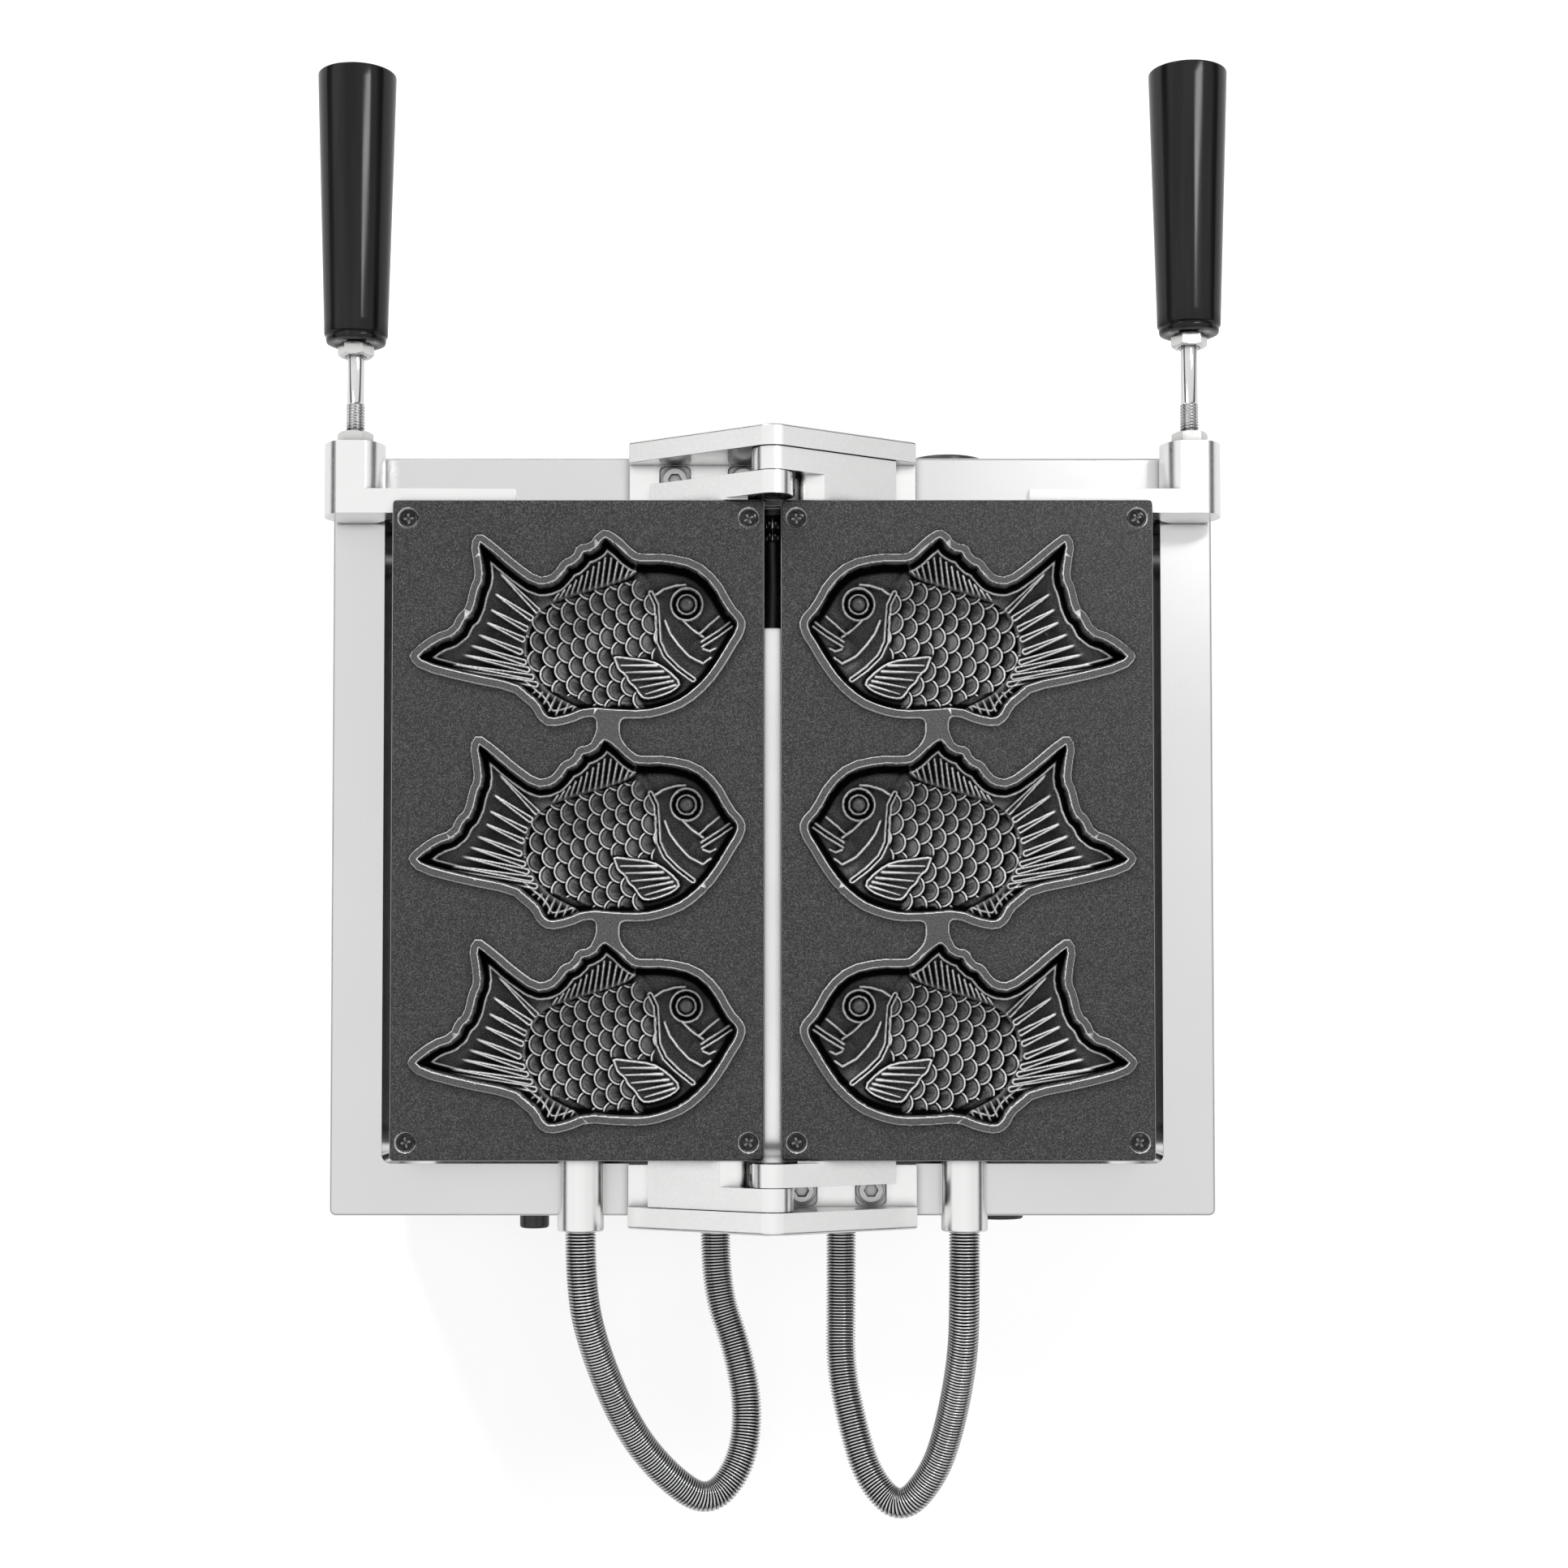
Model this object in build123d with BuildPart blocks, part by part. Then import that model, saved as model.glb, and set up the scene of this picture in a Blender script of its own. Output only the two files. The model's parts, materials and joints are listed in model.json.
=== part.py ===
from build123d import *
import math
import os

# Countertop fish-waffle maker: two black mould plates, hinged along one line and opened flat over
# a steel housing. All sizes are millimetres. The front, with the two handles, faces -Y.
# The origin lies on the worktop, under the middle of the outline with its handles.

# Housing
body_width = 367.0
body_depth = 316.0
body_height = 125.0
foot_height = 15.0
mid_y = 74.0
sheet = 1.2
edge_radius = 1.5
corner_radius = 2.5
flange_width = 21.5
panel_gap = 0.2
well_drop = 55.0
well_corner = 4.0
foot_radius = 14.0
foot_chamfer = 1.5
foot_inset = 26.0
foot_screw_radius = 2.5
foot_head_radius = 4.5
foot_head_height = 3.0
foot_recess = 6.0
base_lip = 12.0
lip_screw_rows = (-110.0, 0.0, 110.0)
lip_screw_columns = (-130.0, 130.0)
lip_screw_radius = 1.5
lip_screw_head = 3.5
lip_screw_head_height = 2.0
lip_screw_length = 8.0
hole_play = 0.1
vent_length = 42.0
vent_width = 4.0
vent_pitch = 12.0
vent_count = 9

# Hinge line, brackets and arms
hinge_rise = 34.0
layer_gap = 0.3
knuckle_radius = 8.4
inner_knuckle = 9.4
outer_knuckle = 9.3
knuckle_offset = 0.8
bracket_wall = 9.0
bracket_width = 119.0
bracket_end_height = 9.0
bracket_flange = 4.5
bracket_flange_start = 136.7
bracket_nose_radius = 9.2
bracket_rounding = 1.5
bracket_screw_columns = (-40.5, -12.0, 12.0, 40.5)
bracket_screw_row = 147.0
bracket_screw_radius = 3.0
bracket_head_radius = 5.0
bracket_head_height = 3.2
bracket_socket = 5.0
washer_radius = 6.1
washer_height = 1.2
pocket_side = 13.0
pocket_corner = 2.5
pocket_depth = 1.5
pivot_radius = 4.0
pivot_play = 0.05
pivot_head_radius = 6.5
pivot_head_height = 4.6
pivot_head_play = 0.5
pivot_socket = 6.0
arm_floor = 8.5
arm_end = 1.0
narrow_reach = 50.5
wide_reach = 51.0
narrow_seat = 10.0
wide_seat = 21.2
nose_x = 15.2
nose_rise = 25.0
nose_radius = 6.0
narrow_screw_xs = (16.0, 31.0)
wide_screw_xs = (26.0, 37.0)
mould_screw_radius = 2.0
mould_screw_head = 3.5
mould_screw_head_height = 4.0
mould_screw_bite = 5.5
mould_screw_socket = 3.0

# Mould plates
mould_length = 267.4
mould_width = 150.65
hinge_side_gap = 3.35
parting_gap = 0.15
land_height = 1.5
land_width = 3.0
slab = 14.5
skirt_depth = 34.0
skirt_wall = 6.0
mould_corner = 2.0
plate_screw_x = 69.0
plate_screw_y = 126.3
plate_screw_radius = 2.0
plate_screw_head = 3.6
plate_screw_head_height = 2.4
cross_length = 4.4
cross_width = 1.0
plate_screw_recess = 4.1
plate_recess_depth = 2.6
corner_boss_radius = 6.0
cover_drop = 8.0
cover_inset = 1.0

# Fish cavities, drawn with x towards the hinge line and y towards the rear
fish_pitch = 82.0
fish_shift = 1.0
fish_depth = 12.0
fin_depth = 6.5
wall_slope = 10.0
head_x = 32.5
head_y = 1.5
head_radius = 29.0
belly_x = 3.0
belly_y = 7.5
belly_radius = 25.5
lip_x = 58.5
lip_y = -1.5
lip_radius = 6.2
bridge_x = 13.3
bridge_width = 11.5
tail_outline = [
    (-39.5, -35.0),
    (-17.0, -16.5),
    (-8.0, -8.0),
    (-8.0, 18.0),
    (-24.0, 21.5),
    (-45.0, 18.0),
    (-63.5, 12.7),
    (-56.5, 5.3),
    (-46.3, -3.2),
    (-40.2, -15.5),
    (-38.4, -22.3),
]
dorsal_outline = [
    (-9.0, -14.0),
    (-8.6, -19.0),
    (-3.5, -25.8),
    (2.5, -30.5),
    (10.6, -36.8),
    (20.0, -29.0),
    (24.0, -22.0),
]
anal_outline = [
    (6.0, 28.0),
    (3.5, 32.0),
    (-4.0, 35.0),
    (-11.2, 36.6),
    (-14.0, 34.5),
    (-17.5, 28.0),
    (-19.0, 18.0),
    (-5.0, 20.0),
]

# Heater under each plate
element_radius = 4.0
element_bend = 14.0
element_half_run = 105.0
element_pitch = 36.0
element_runs = 4
element_play = 0.05
clamp_thickness = 2.0
clamp_margin = 2.0
clamp_end_margin = 8.0
pad_notch = 12.0
probe_radius = 3.0
probe_length = 40.0

# Handles
handle_x = 172.5
handle_boss_radius = 12.5
handle_boss_flat = 11.3
handle_rest_gap = 0.4
handle_boss_front = 160.2
handle_boss_rear = 130.2
handle_arm = 6.5
handle_arm_reach = 105.0
handle_arm_height = 15.0
handle_web_depth = 10.0
handle_side_gap = 0.3
handle_screw_xs = (115.0, 140.0)
stud_radius = 4.0
stud_shank_radius = 3.3
stud_bite = 23.0
stud_thread = 17.0
nut_flats = 13.0
nut_height = 5.4
grip_base_radius = 13.0
grip_tip_radius = 16.25
grip_base_rounding = 2.0
grip_tip_rounding = 5.0
grip_length = 107.0
grip_starts = {"right": 205.6, "left": 209.6}
grip_bore_depth = 40.0
thread_play = 0.02

# Ribbed conduits from the moulds to the rear wall
gland_x = 78.6
gland_rise = 10.5
gland_radius = 9.5
gland_reach = 163.3
gland_rounding = 0.8
nipple_radius = 5.6
nipple_nut_flats = 14.0
nipple_nut = 4.0
nipple_length = 12.0
hose_radius = 6.35
hose_root_radius = 5.7
hose_bore_radius = 4.8
hose_rib_pitch = 1.35
hose_spans = 10
gap_steps = 200
bend_share = 0.45
rib_crest_start = 0.2
rib_crest_end = 0.6
rib_root_start = 0.8
fitting_reach = 167.5
fitting_radius = 8.5
fitting_flats = 20.0
fitting_nut = 4.0
fitting_tail = 10.0
fitting_thread_radius = 7.0
fitting_drop = 40.0
fitting_xs = {"right": 24.5, "left": -29.5}

# Controls on the front and the parts on the rear wall
control_height = 45.0
temperature_x = -78.0
timer_x = 0.0
switch_x = 84.0
lamp_xs = (34.0, 50.0)
knob_radius = 18.0
knob_length = 15.0
knob_gap = 0.8
knob_rounding = 1.5
pointer_width = 2.0
pointer_depth = 0.6
pointer_length = 14.4
spindle_radius = 3.0
spindle_play = 0.05
spindle_length = 12.0
bush_radius = 5.0
control_side = 42.0
control_depth = 32.0
switch_width = 21.0
switch_height = 28.0
bezel_wall = 2.0
bezel_height = 2.2
rocker_tilt = 12.0
rocker_play = 0.3
switch_depth = 20.0
lamp_radius = 4.5
lamp_flange = 6.0
lamp_flange_height = 1.6
lamp_depth = 24.0
fuse_x = 105.0
inlet_x = -100.0
rear_item_height = 55.0
fuse_radius = 6.4
fuse_flange_radius = 8.5
fuse_flange = 1.6
fuse_reach = 10.6
fuse_tail = 18.0
inlet_radius = 12.5
inlet_neck_radius = 8.5
inlet_reach = 6.4
inlet_tail = 10.0
inlet_taper = 20.0
cable_radius = 4.5
block_length = 66.0
block_width = 20.0
block_height = 16.0
block_y = 95.0
block_ways = 6
terminal_width = 7.7
terminal_depth = 12.0

# Heights and places that follow
body_bottom = foot_height
body_top = body_bottom + body_height
half_depth = body_depth / 2
half_width = body_width / 2
hinge_z = body_top + hinge_rise
well_width = body_width - 2 * flange_width
well_depth = body_depth - 2 * flange_width
well_floor = body_top - well_drop
panel_width = well_width - 2 * panel_gap
mould_end = mould_length / 2
mould_x = hinge_side_gap + mould_width / 2
mould_outer_x = hinge_side_gap + mould_width
land_z = hinge_z - parting_gap
face_z = land_z - land_height
slab_z = face_z - slab
skirt_z = face_z - skirt_depth
cover_z = skirt_z - cover_drop
element_z = slab_z - element_play - element_radius
clamp_z = element_z - element_radius - element_play - clamp_thickness
inner_face = mould_end + knuckle_offset
inner_back = inner_face + inner_knuckle
outer_face = inner_back + layer_gap
outer_back = outer_face + outer_knuckle
wall_face = outer_back + layer_gap
wall_back = wall_face + bracket_wall
handle_z = body_top + handle_rest_gap + handle_boss_flat
handle_arm_top = handle_z + handle_boss_flat
gland_z = body_top + gland_rise
fitting_z = body_top - fitting_drop
control_z = body_bottom + control_height
rear_item_z = body_bottom + rear_item_height
panel_inside = half_depth - sheet
lip_screw_z = body_bottom + base_lip / 2
foot_x = half_width - foot_inset
foot_y = half_depth - foot_inset
arm_base_z = body_top + arm_floor
roof_angle = math.atan2(hinge_rise - bracket_end_height, bracket_width / 2) + math.asin(
    bracket_nose_radius / math.hypot(hinge_rise - bracket_end_height, bracket_width / 2)
)

SIDES = {"left": -1, "right": 1}
ENDS = {"front": -1, "rear": 1}

os.makedirs("parts", exist_ok=True)


def level(height, x=0.0, y=0.0):
    """Horizontal sketch plane; x and y are measured from the middle of the housing."""
    return Plane((x, mid_y + y, height))


def upright(depth):
    """Sketch plane across the machine, drawn in (x, z) and extruded towards the front."""
    return Plane((0, mid_y + depth, 0), x_dir=(1, 0, 0), z_dir=(0, -1, 0))


def sideways(x):
    """Sketch plane along the machine, drawn in (y, z) and extruded towards +X."""
    return Plane((x, mid_y, 0), x_dir=(0, 1, 0), z_dir=(1, 0, 0))


def layer(end, near, far):
    """Upright plane at the rear face of a layer that lies between near and far at one end."""
    return upright(max(end * near, end * far))


def write(piece, name):
    """Label a finished piece and write it under its name."""
    piece.part.label = name
    export_step(piece.part, f"parts/{name}.step")


def arm_top(x):
    """Height of an arm's sloping top at a distance x from the hinge line."""
    return hinge_z + knuckle_radius / math.cos(roof_angle) - x * math.tan(roof_angle)


def arm_low(x, reach):
    """Height of an arm's underside, which runs from the knuckle to the foot of its end."""
    drop = hinge_z - arm_base_z
    slope = math.atan2(drop, reach) - math.asin(knuckle_radius / math.hypot(drop, reach))
    return hinge_z - knuckle_radius / math.cos(slope) - x * math.tan(slope)


def arm_outline(side, reach):
    """Knuckle circle run out to its square end, drawn on the open upright sketch."""
    end_height = arm_top(reach) - arm_base_z
    with Locations((0, hinge_z)):
        Circle(knuckle_radius)
    with Locations((side * (reach - arm_end / 2), arm_base_z + end_height / 2)):
        Rectangle(arm_end, end_height)
    make_hull()


def arm_screw_places(side, xs, reach):
    """Centres of an arm's screws, midway between its top and underside."""
    return [(side * x, (arm_top(x) + arm_low(x, reach)) / 2) for x in xs]


def narrow_screws(side):
    return arm_screw_places(side, narrow_screw_xs, narrow_reach)


def wide_screws(side):
    return arm_screw_places(side, wide_screw_xs, wide_reach)


def handle_screws(side):
    return [(side * x, handle_arm_top - handle_arm_height / 2) for x in handle_screw_xs]


# Housing shell: sides, rear and the flange round the well, open in front for the folded panel
with BuildPart() as body_shell:
    with BuildSketch(level(body_bottom)):
        RectangleRounded(body_width, body_depth, corner_radius)
    extrude(amount=body_height)
    fillet(body_shell.faces().sort_by(Axis.Z)[-1].edges(), edge_radius)
    with BuildSketch(level(body_bottom)):
        Rectangle(body_width - 2 * sheet, body_depth - 2 * sheet)
    extrude(amount=body_height - sheet, mode=Mode.SUBTRACT)
    with BuildSketch(level(body_top - sheet)):
        RectangleRounded(well_width, well_depth, well_corner)
    extrude(amount=sheet, mode=Mode.SUBTRACT)
    with BuildSketch(level(body_bottom, y=-half_depth + flange_width / 2)):
        Rectangle(well_width, flange_width)
    extrude(amount=body_height, mode=Mode.SUBTRACT)
    with BuildSketch(level(body_top - sheet)):
        with Locations([(x, bracket_screw_row) for x in bracket_screw_columns]):
            Circle(bracket_screw_radius + hole_play)
    extrude(amount=sheet, mode=Mode.SUBTRACT)
    with BuildSketch(upright(half_depth)):
        with Locations((fuse_x, rear_item_z)):
            Circle(fuse_radius + hole_play)
        with Locations((inlet_x, rear_item_z)):
            Circle(inlet_neck_radius + hole_play)
        with Locations([(x, fitting_z) for x in fitting_xs.values()]):
            Circle(fitting_thread_radius + hole_play)
        with Locations([(x, lip_screw_z) for x in lip_screw_columns]):
            Circle(lip_screw_radius + hole_play)
    extrude(amount=sheet, mode=Mode.SUBTRACT)
    with BuildSketch(sideways(-half_width)):
        with Locations([(y, lip_screw_z) for y in lip_screw_rows]):
            Circle(lip_screw_radius + hole_play)
    extrude(amount=body_width, mode=Mode.SUBTRACT)
write(body_shell, "body_shell")

# Front panel: one sheet folded over the top, with the openings for the controls
with BuildPart() as front_panel:
    with BuildSketch(sideways(-panel_width / 2)):
        with Locations((-half_depth + sheet / 2, body_bottom + body_height / 2)):
            Rectangle(sheet, body_height)
        with Locations((-half_depth + flange_width / 2, body_top - sheet / 2)):
            Rectangle(flange_width, sheet)
    extrude(amount=panel_width)
    bend = front_panel.edges().filter_by(Axis.X).group_by(Axis.Z)[-1].sort_by(Axis.Y)[0]
    fillet(bend, edge_radius)
    with BuildSketch(level(body_top - sheet)):
        with Locations([(x, -bracket_screw_row) for x in bracket_screw_columns]):
            Circle(bracket_screw_radius + hole_play)
    extrude(amount=sheet, mode=Mode.SUBTRACT)
    with BuildSketch(upright(-panel_inside)):
        with Locations((temperature_x, control_z), (timer_x, control_z)):
            Circle(bush_radius + hole_play)
        with Locations((switch_x, control_z)):
            Rectangle(switch_width + 2 * hole_play, switch_height + 2 * hole_play)
        with Locations([(x, control_z) for x in lamp_xs]):
            Circle(lamp_radius + hole_play)
        with Locations([(x, lip_screw_z) for x in lip_screw_columns]):
            Circle(lip_screw_radius + hole_play)
    extrude(amount=sheet, mode=Mode.SUBTRACT)
write(front_panel, "front_panel")

# Well tray: the open steel box under the flange, over which the moulds lie
with BuildPart() as well_tray:
    with BuildSketch(level(well_floor - sheet)):
        RectangleRounded(well_width + 2 * sheet, well_depth + 2 * sheet, well_corner + sheet)
    extrude(amount=well_drop)
    with BuildSketch(level(well_floor)):
        RectangleRounded(well_width, well_depth, well_corner)
    extrude(amount=well_drop, mode=Mode.SUBTRACT)
write(well_tray, "well_tray")

# Base plate: a shallow tray inside the housing's lower edge, with rows of vents
with BuildPart() as base_plate:
    with BuildSketch(level(body_bottom)):
        Rectangle(body_width - 2 * sheet, body_depth - 2 * sheet)
    extrude(amount=base_lip)
    with BuildSketch(level(body_bottom + sheet)):
        Rectangle(body_width - 4 * sheet, body_depth - 4 * sheet)
    extrude(amount=base_lip, mode=Mode.SUBTRACT)
    with BuildSketch(level(body_bottom)):
        with GridLocations(2 * vent_length, vent_pitch, 2, vent_count):
            SlotOverall(vent_length, vent_width)
        with GridLocations(2 * foot_x, 2 * foot_y, 2, 2):
            Circle(foot_screw_radius + hole_play)
    extrude(amount=sheet, mode=Mode.SUBTRACT)
    with BuildSketch(sideways(-half_width)):
        with Locations([(y, lip_screw_z) for y in lip_screw_rows]):
            Circle(lip_screw_radius + hole_play)
    extrude(amount=body_width, mode=Mode.SUBTRACT)
    with BuildSketch(upright(half_depth)):
        with Locations([(x, lip_screw_z) for x in lip_screw_columns]):
            Circle(lip_screw_radius + hole_play)
    extrude(amount=body_depth, mode=Mode.SUBTRACT)
write(base_plate, "base_plate")

# Rubber feet with a recess for their screws
with BuildPart() as feet:
    with BuildSketch(level(0)):
        with GridLocations(2 * foot_x, 2 * foot_y, 2, 2):
            Circle(foot_radius)
    extrude(amount=foot_height)
    chamfer(feet.faces().sort_by(Axis.Z)[:4].edges(), foot_chamfer)
    with BuildSketch(level(0)):
        with GridLocations(2 * foot_x, 2 * foot_y, 2, 2):
            Circle(foot_head_radius + 2 * hole_play)
    extrude(amount=foot_recess, mode=Mode.SUBTRACT)
    with BuildSketch(level(0)):
        with GridLocations(2 * foot_x, 2 * foot_y, 2, 2):
            Circle(foot_screw_radius + hole_play)
    extrude(amount=foot_height, mode=Mode.SUBTRACT)
write(feet, "feet")

with BuildPart() as foot_screws:
    with BuildSketch(level(foot_recess - foot_head_height)):
        with GridLocations(2 * foot_x, 2 * foot_y, 2, 2):
            Circle(foot_head_radius)
    extrude(amount=foot_head_height)
    with BuildSketch(level(foot_recess)):
        with GridLocations(2 * foot_x, 2 * foot_y, 2, 2):
            Circle(foot_screw_radius)
    extrude(amount=foot_height + sheet)
write(foot_screws, "foot_screws")

# Screws that hold the base plate's lip on all four sides
with BuildPart() as base_screws:
    for side in SIDES.values():
        with BuildSketch(sideways(side * half_width)):
            with Locations([(y, lip_screw_z) for y in lip_screw_rows]):
                Circle(lip_screw_head)
        extrude(amount=side * lip_screw_head_height)
        with BuildSketch(sideways(side * half_width)):
            with Locations([(y, lip_screw_z) for y in lip_screw_rows]):
                Circle(lip_screw_radius)
        extrude(amount=-side * lip_screw_length)
    for end in ENDS.values():
        with BuildSketch(upright(end * half_depth)):
            with Locations([(x, lip_screw_z) for x in lip_screw_columns]):
                Circle(lip_screw_head)
        extrude(amount=-end * lip_screw_head_height)
        with BuildSketch(upright(end * half_depth)):
            with Locations([(x, lip_screw_z) for x in lip_screw_columns]):
                Circle(lip_screw_radius)
        extrude(amount=end * lip_screw_length)
write(base_screws, "base_screws")


def hinge_bracket(end, name):
    """Cast bracket: a roof-shaped wall that holds the pivot, on a flange screwed to the housing."""
    with BuildPart() as bracket:
        with BuildSketch(layer(end, wall_face, wall_back)):
            with Locations((0, hinge_z)):
                Circle(bracket_nose_radius)
            with Locations((0, body_top + bracket_end_height / 2)):
                Rectangle(bracket_width, bracket_end_height)
            make_hull()
        extrude(amount=bracket_wall)
        outside = bracket.faces().sort_by(Axis.Y)[-1 if end > 0 else 0]
        fillet(outside.edges().sort_by(Axis.Z)[1:], bracket_rounding)
        flange_depth = wall_face + bracket_rounding - bracket_flange_start
        flange_y = end * (bracket_flange_start + flange_depth / 2)
        with BuildSketch(level(body_top, y=flange_y)):
            Rectangle(bracket_width, flange_depth)
        extrude(amount=bracket_flange)
        with BuildSketch(level(body_top + bracket_flange - pocket_depth)):
            with Locations([(x, end * bracket_screw_row) for x in bracket_screw_columns]):
                RectangleRounded(pocket_side, pocket_side, pocket_corner)
        extrude(amount=pocket_depth, mode=Mode.SUBTRACT)
        with BuildSketch(level(body_top)):
            with Locations([(x, end * bracket_screw_row) for x in bracket_screw_columns]):
                Circle(bracket_screw_radius + hole_play)
        extrude(amount=bracket_flange, mode=Mode.SUBTRACT)
        with BuildSketch(layer(end, wall_face, wall_back)):
            with Locations((0, hinge_z)):
                Circle(pivot_radius + pivot_play)
        extrude(amount=bracket_wall, mode=Mode.SUBTRACT)
        with BuildSketch(layer(end, wall_back - nut_height - 2 * hole_play, wall_back)):
            with Locations((0, hinge_z)):
                RegularPolygon(nut_flats / 2 + hole_play, 6, major_radius=False)
        extrude(amount=nut_height + 2 * hole_play, mode=Mode.SUBTRACT)
    write(bracket, name)


def pivot_bolt(end, name):
    """Pivot bolt, its head sunk in the narrow arm and its end in the nut of the bracket."""
    head_face = inner_face + 2 * hole_play
    head_back = head_face + pivot_head_height
    tip = wall_back - hole_play
    with BuildPart() as bolt:
        with BuildSketch(layer(end, head_face, head_back)):
            with Locations((0, hinge_z)):
                Circle(pivot_head_radius)
        extrude(amount=pivot_head_height)
        with BuildSketch(layer(end, head_face, head_face + pivot_head_height / 2)):
            with Locations((0, hinge_z)):
                RegularPolygon(pivot_socket / 2, 6, major_radius=False)
        extrude(amount=pivot_head_height / 2, mode=Mode.SUBTRACT)
        with BuildSketch(layer(end, head_back, tip)):
            with Locations((0, hinge_z)):
                Circle(pivot_radius)
        extrude(amount=tip - head_back)
    write(bolt, name)


for end_name, end in ENDS.items():
    hinge_bracket(end, f"{end_name}_hinge_bracket")
    pivot_bolt(end, f"{end_name}_pivot_bolt")

# Hexagon nuts of the two pivot bolts, sunk in the brackets
with BuildPart() as pivot_nuts:
    for end in ENDS.values():
        with BuildSketch(layer(end, wall_back - hole_play - nut_height, wall_back - hole_play)):
            with Locations((0, hinge_z)):
                RegularPolygon(nut_flats / 2, 6, major_radius=False)
                Circle(pivot_radius + thread_play, mode=Mode.SUBTRACT)
        extrude(amount=nut_height)
write(pivot_nuts, "pivot_nuts")

# Socket screws of both brackets, each with its washer in a square pocket and a nut below
pocket_floor = body_top + bracket_flange - pocket_depth
bracket_screw_places = [(x, end * bracket_screw_row) for end in (-1, 1) for x in bracket_screw_columns]
with BuildPart() as bracket_washers:
    with BuildSketch(level(pocket_floor)):
        with Locations(bracket_screw_places):
            Circle(washer_radius)
            Circle(bracket_screw_radius + hole_play, mode=Mode.SUBTRACT)
    extrude(amount=washer_height)
write(bracket_washers, "bracket_washers")

with BuildPart() as bracket_screws:
    with BuildSketch(level(pocket_floor + washer_height)):
        with Locations(bracket_screw_places):
            Circle(bracket_head_radius)
    extrude(amount=bracket_head_height)
    with BuildSketch(level(pocket_floor + washer_height + bracket_head_height / 2)):
        with Locations(bracket_screw_places):
            RegularPolygon(bracket_socket / 2, 6, major_radius=False)
    extrude(amount=bracket_head_height / 2, mode=Mode.SUBTRACT)
    with BuildSketch(level(body_top - sheet - nut_height)):
        with Locations(bracket_screw_places):
            Circle(bracket_screw_radius)
    extrude(amount=pocket_floor + washer_height - body_top + sheet + nut_height)
    with BuildSketch(level(body_top - sheet - nut_height)):
        with Locations(bracket_screw_places):
            RegularPolygon(bracket_head_radius, 6, major_radius=False)
    extrude(amount=nut_height)
write(bracket_screws, "bracket_screws")


def fish_sketch(side, shape, grow=0.0):
    """One region of a fish, mirrored for its side and grown evenly for the raised land."""
    if shape == "body":
        with Locations((-side * head_x, head_y)):
            Circle(head_radius + grow)
        with Locations((-side * belly_x, belly_y)):
            Circle(belly_radius + grow)
        make_hull()
    elif shape == "lip":
        with Locations((-side * lip_x, lip_y)):
            Circle(lip_radius + grow)
    else:
        outline = {"tail": tail_outline, "dorsal": dorsal_outline, "anal": anal_outline}[shape]
        Polygon(*[(-side * x, y) for x, y in outline], align=None)
        if grow:
            offset(amount=grow)


def mould_plate(side, name):
    """Black mould: a slab with a deep skirt, three fish cavities and a raised land round them."""
    centre = side * mould_x
    corners = [(x, y) for x in (-plate_screw_x, plate_screw_x) for y in (-plate_screw_y, plate_screw_y)]
    with BuildPart() as plate:
        with BuildSketch(level(skirt_z, centre)):
            RectangleRounded(mould_width, mould_length, mould_corner)
        extrude(amount=skirt_depth)
        with BuildSketch(level(skirt_z, centre)):
            Rectangle(mould_width - 2 * skirt_wall, mould_length - 2 * skirt_wall)
        extrude(amount=slab_z - skirt_z, mode=Mode.SUBTRACT)
        with BuildSketch(level(skirt_z, centre)):
            with Locations(corners):
                Circle(corner_boss_radius)
        extrude(amount=slab_z - skirt_z)
        for row in (-1, 0, 1):
            place = fish_shift + row * fish_pitch
            for shape in ("body", "lip", "tail", "dorsal", "anal"):
                with BuildSketch(level(face_z, centre, place)):
                    fish_sketch(side, shape, land_width)
                extrude(amount=land_height)
        for row in (-0.5, 0.5):
            with BuildSketch(level(face_z, centre - side * bridge_x, fish_shift + row * fish_pitch)):
                Rectangle(bridge_width, bridge_width)
            extrude(amount=land_height)
        for row in (-1, 0, 1):
            place = fish_shift + row * fish_pitch
            with BuildSketch(level(land_z, centre, place)):
                fish_sketch(side, "body")
            extrude(amount=-fish_depth, taper=wall_slope, mode=Mode.SUBTRACT)
            for shape in ("lip", "tail", "dorsal", "anal"):
                with BuildSketch(level(land_z - fin_depth, centre, place)):
                    fish_sketch(side, shape)
                extrude(amount=fin_depth, mode=Mode.SUBTRACT)
        with BuildSketch(level(face_z - plate_recess_depth, centre)):
            with Locations(corners):
                Circle(plate_screw_recess)
        extrude(amount=plate_recess_depth, mode=Mode.SUBTRACT)
        with BuildSketch(level(skirt_z, centre)):
            with Locations(corners):
                Circle(plate_screw_radius + hole_play)
        extrude(amount=skirt_depth, mode=Mode.SUBTRACT)
        front_screws = handle_screws(side) + (narrow_screws(side) if side > 0 else wide_screws(side))
        rear_screws = wide_screws(side) if side > 0 else narrow_screws(side)
        for end, places in ((-1, front_screws), (1, rear_screws)):
            with BuildSketch(layer(end, mould_end - mould_screw_bite, mould_end)):
                with Locations(places):
                    Circle(mould_screw_radius + thread_play)
            extrude(amount=mould_screw_bite, mode=Mode.SUBTRACT)
        with BuildSketch(upright(mould_end)):
            with Locations((side * gland_x, gland_z)):
                Circle(nipple_radius + hole_play)
        extrude(amount=skirt_wall, mode=Mode.SUBTRACT)
    write(plate, name)


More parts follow.
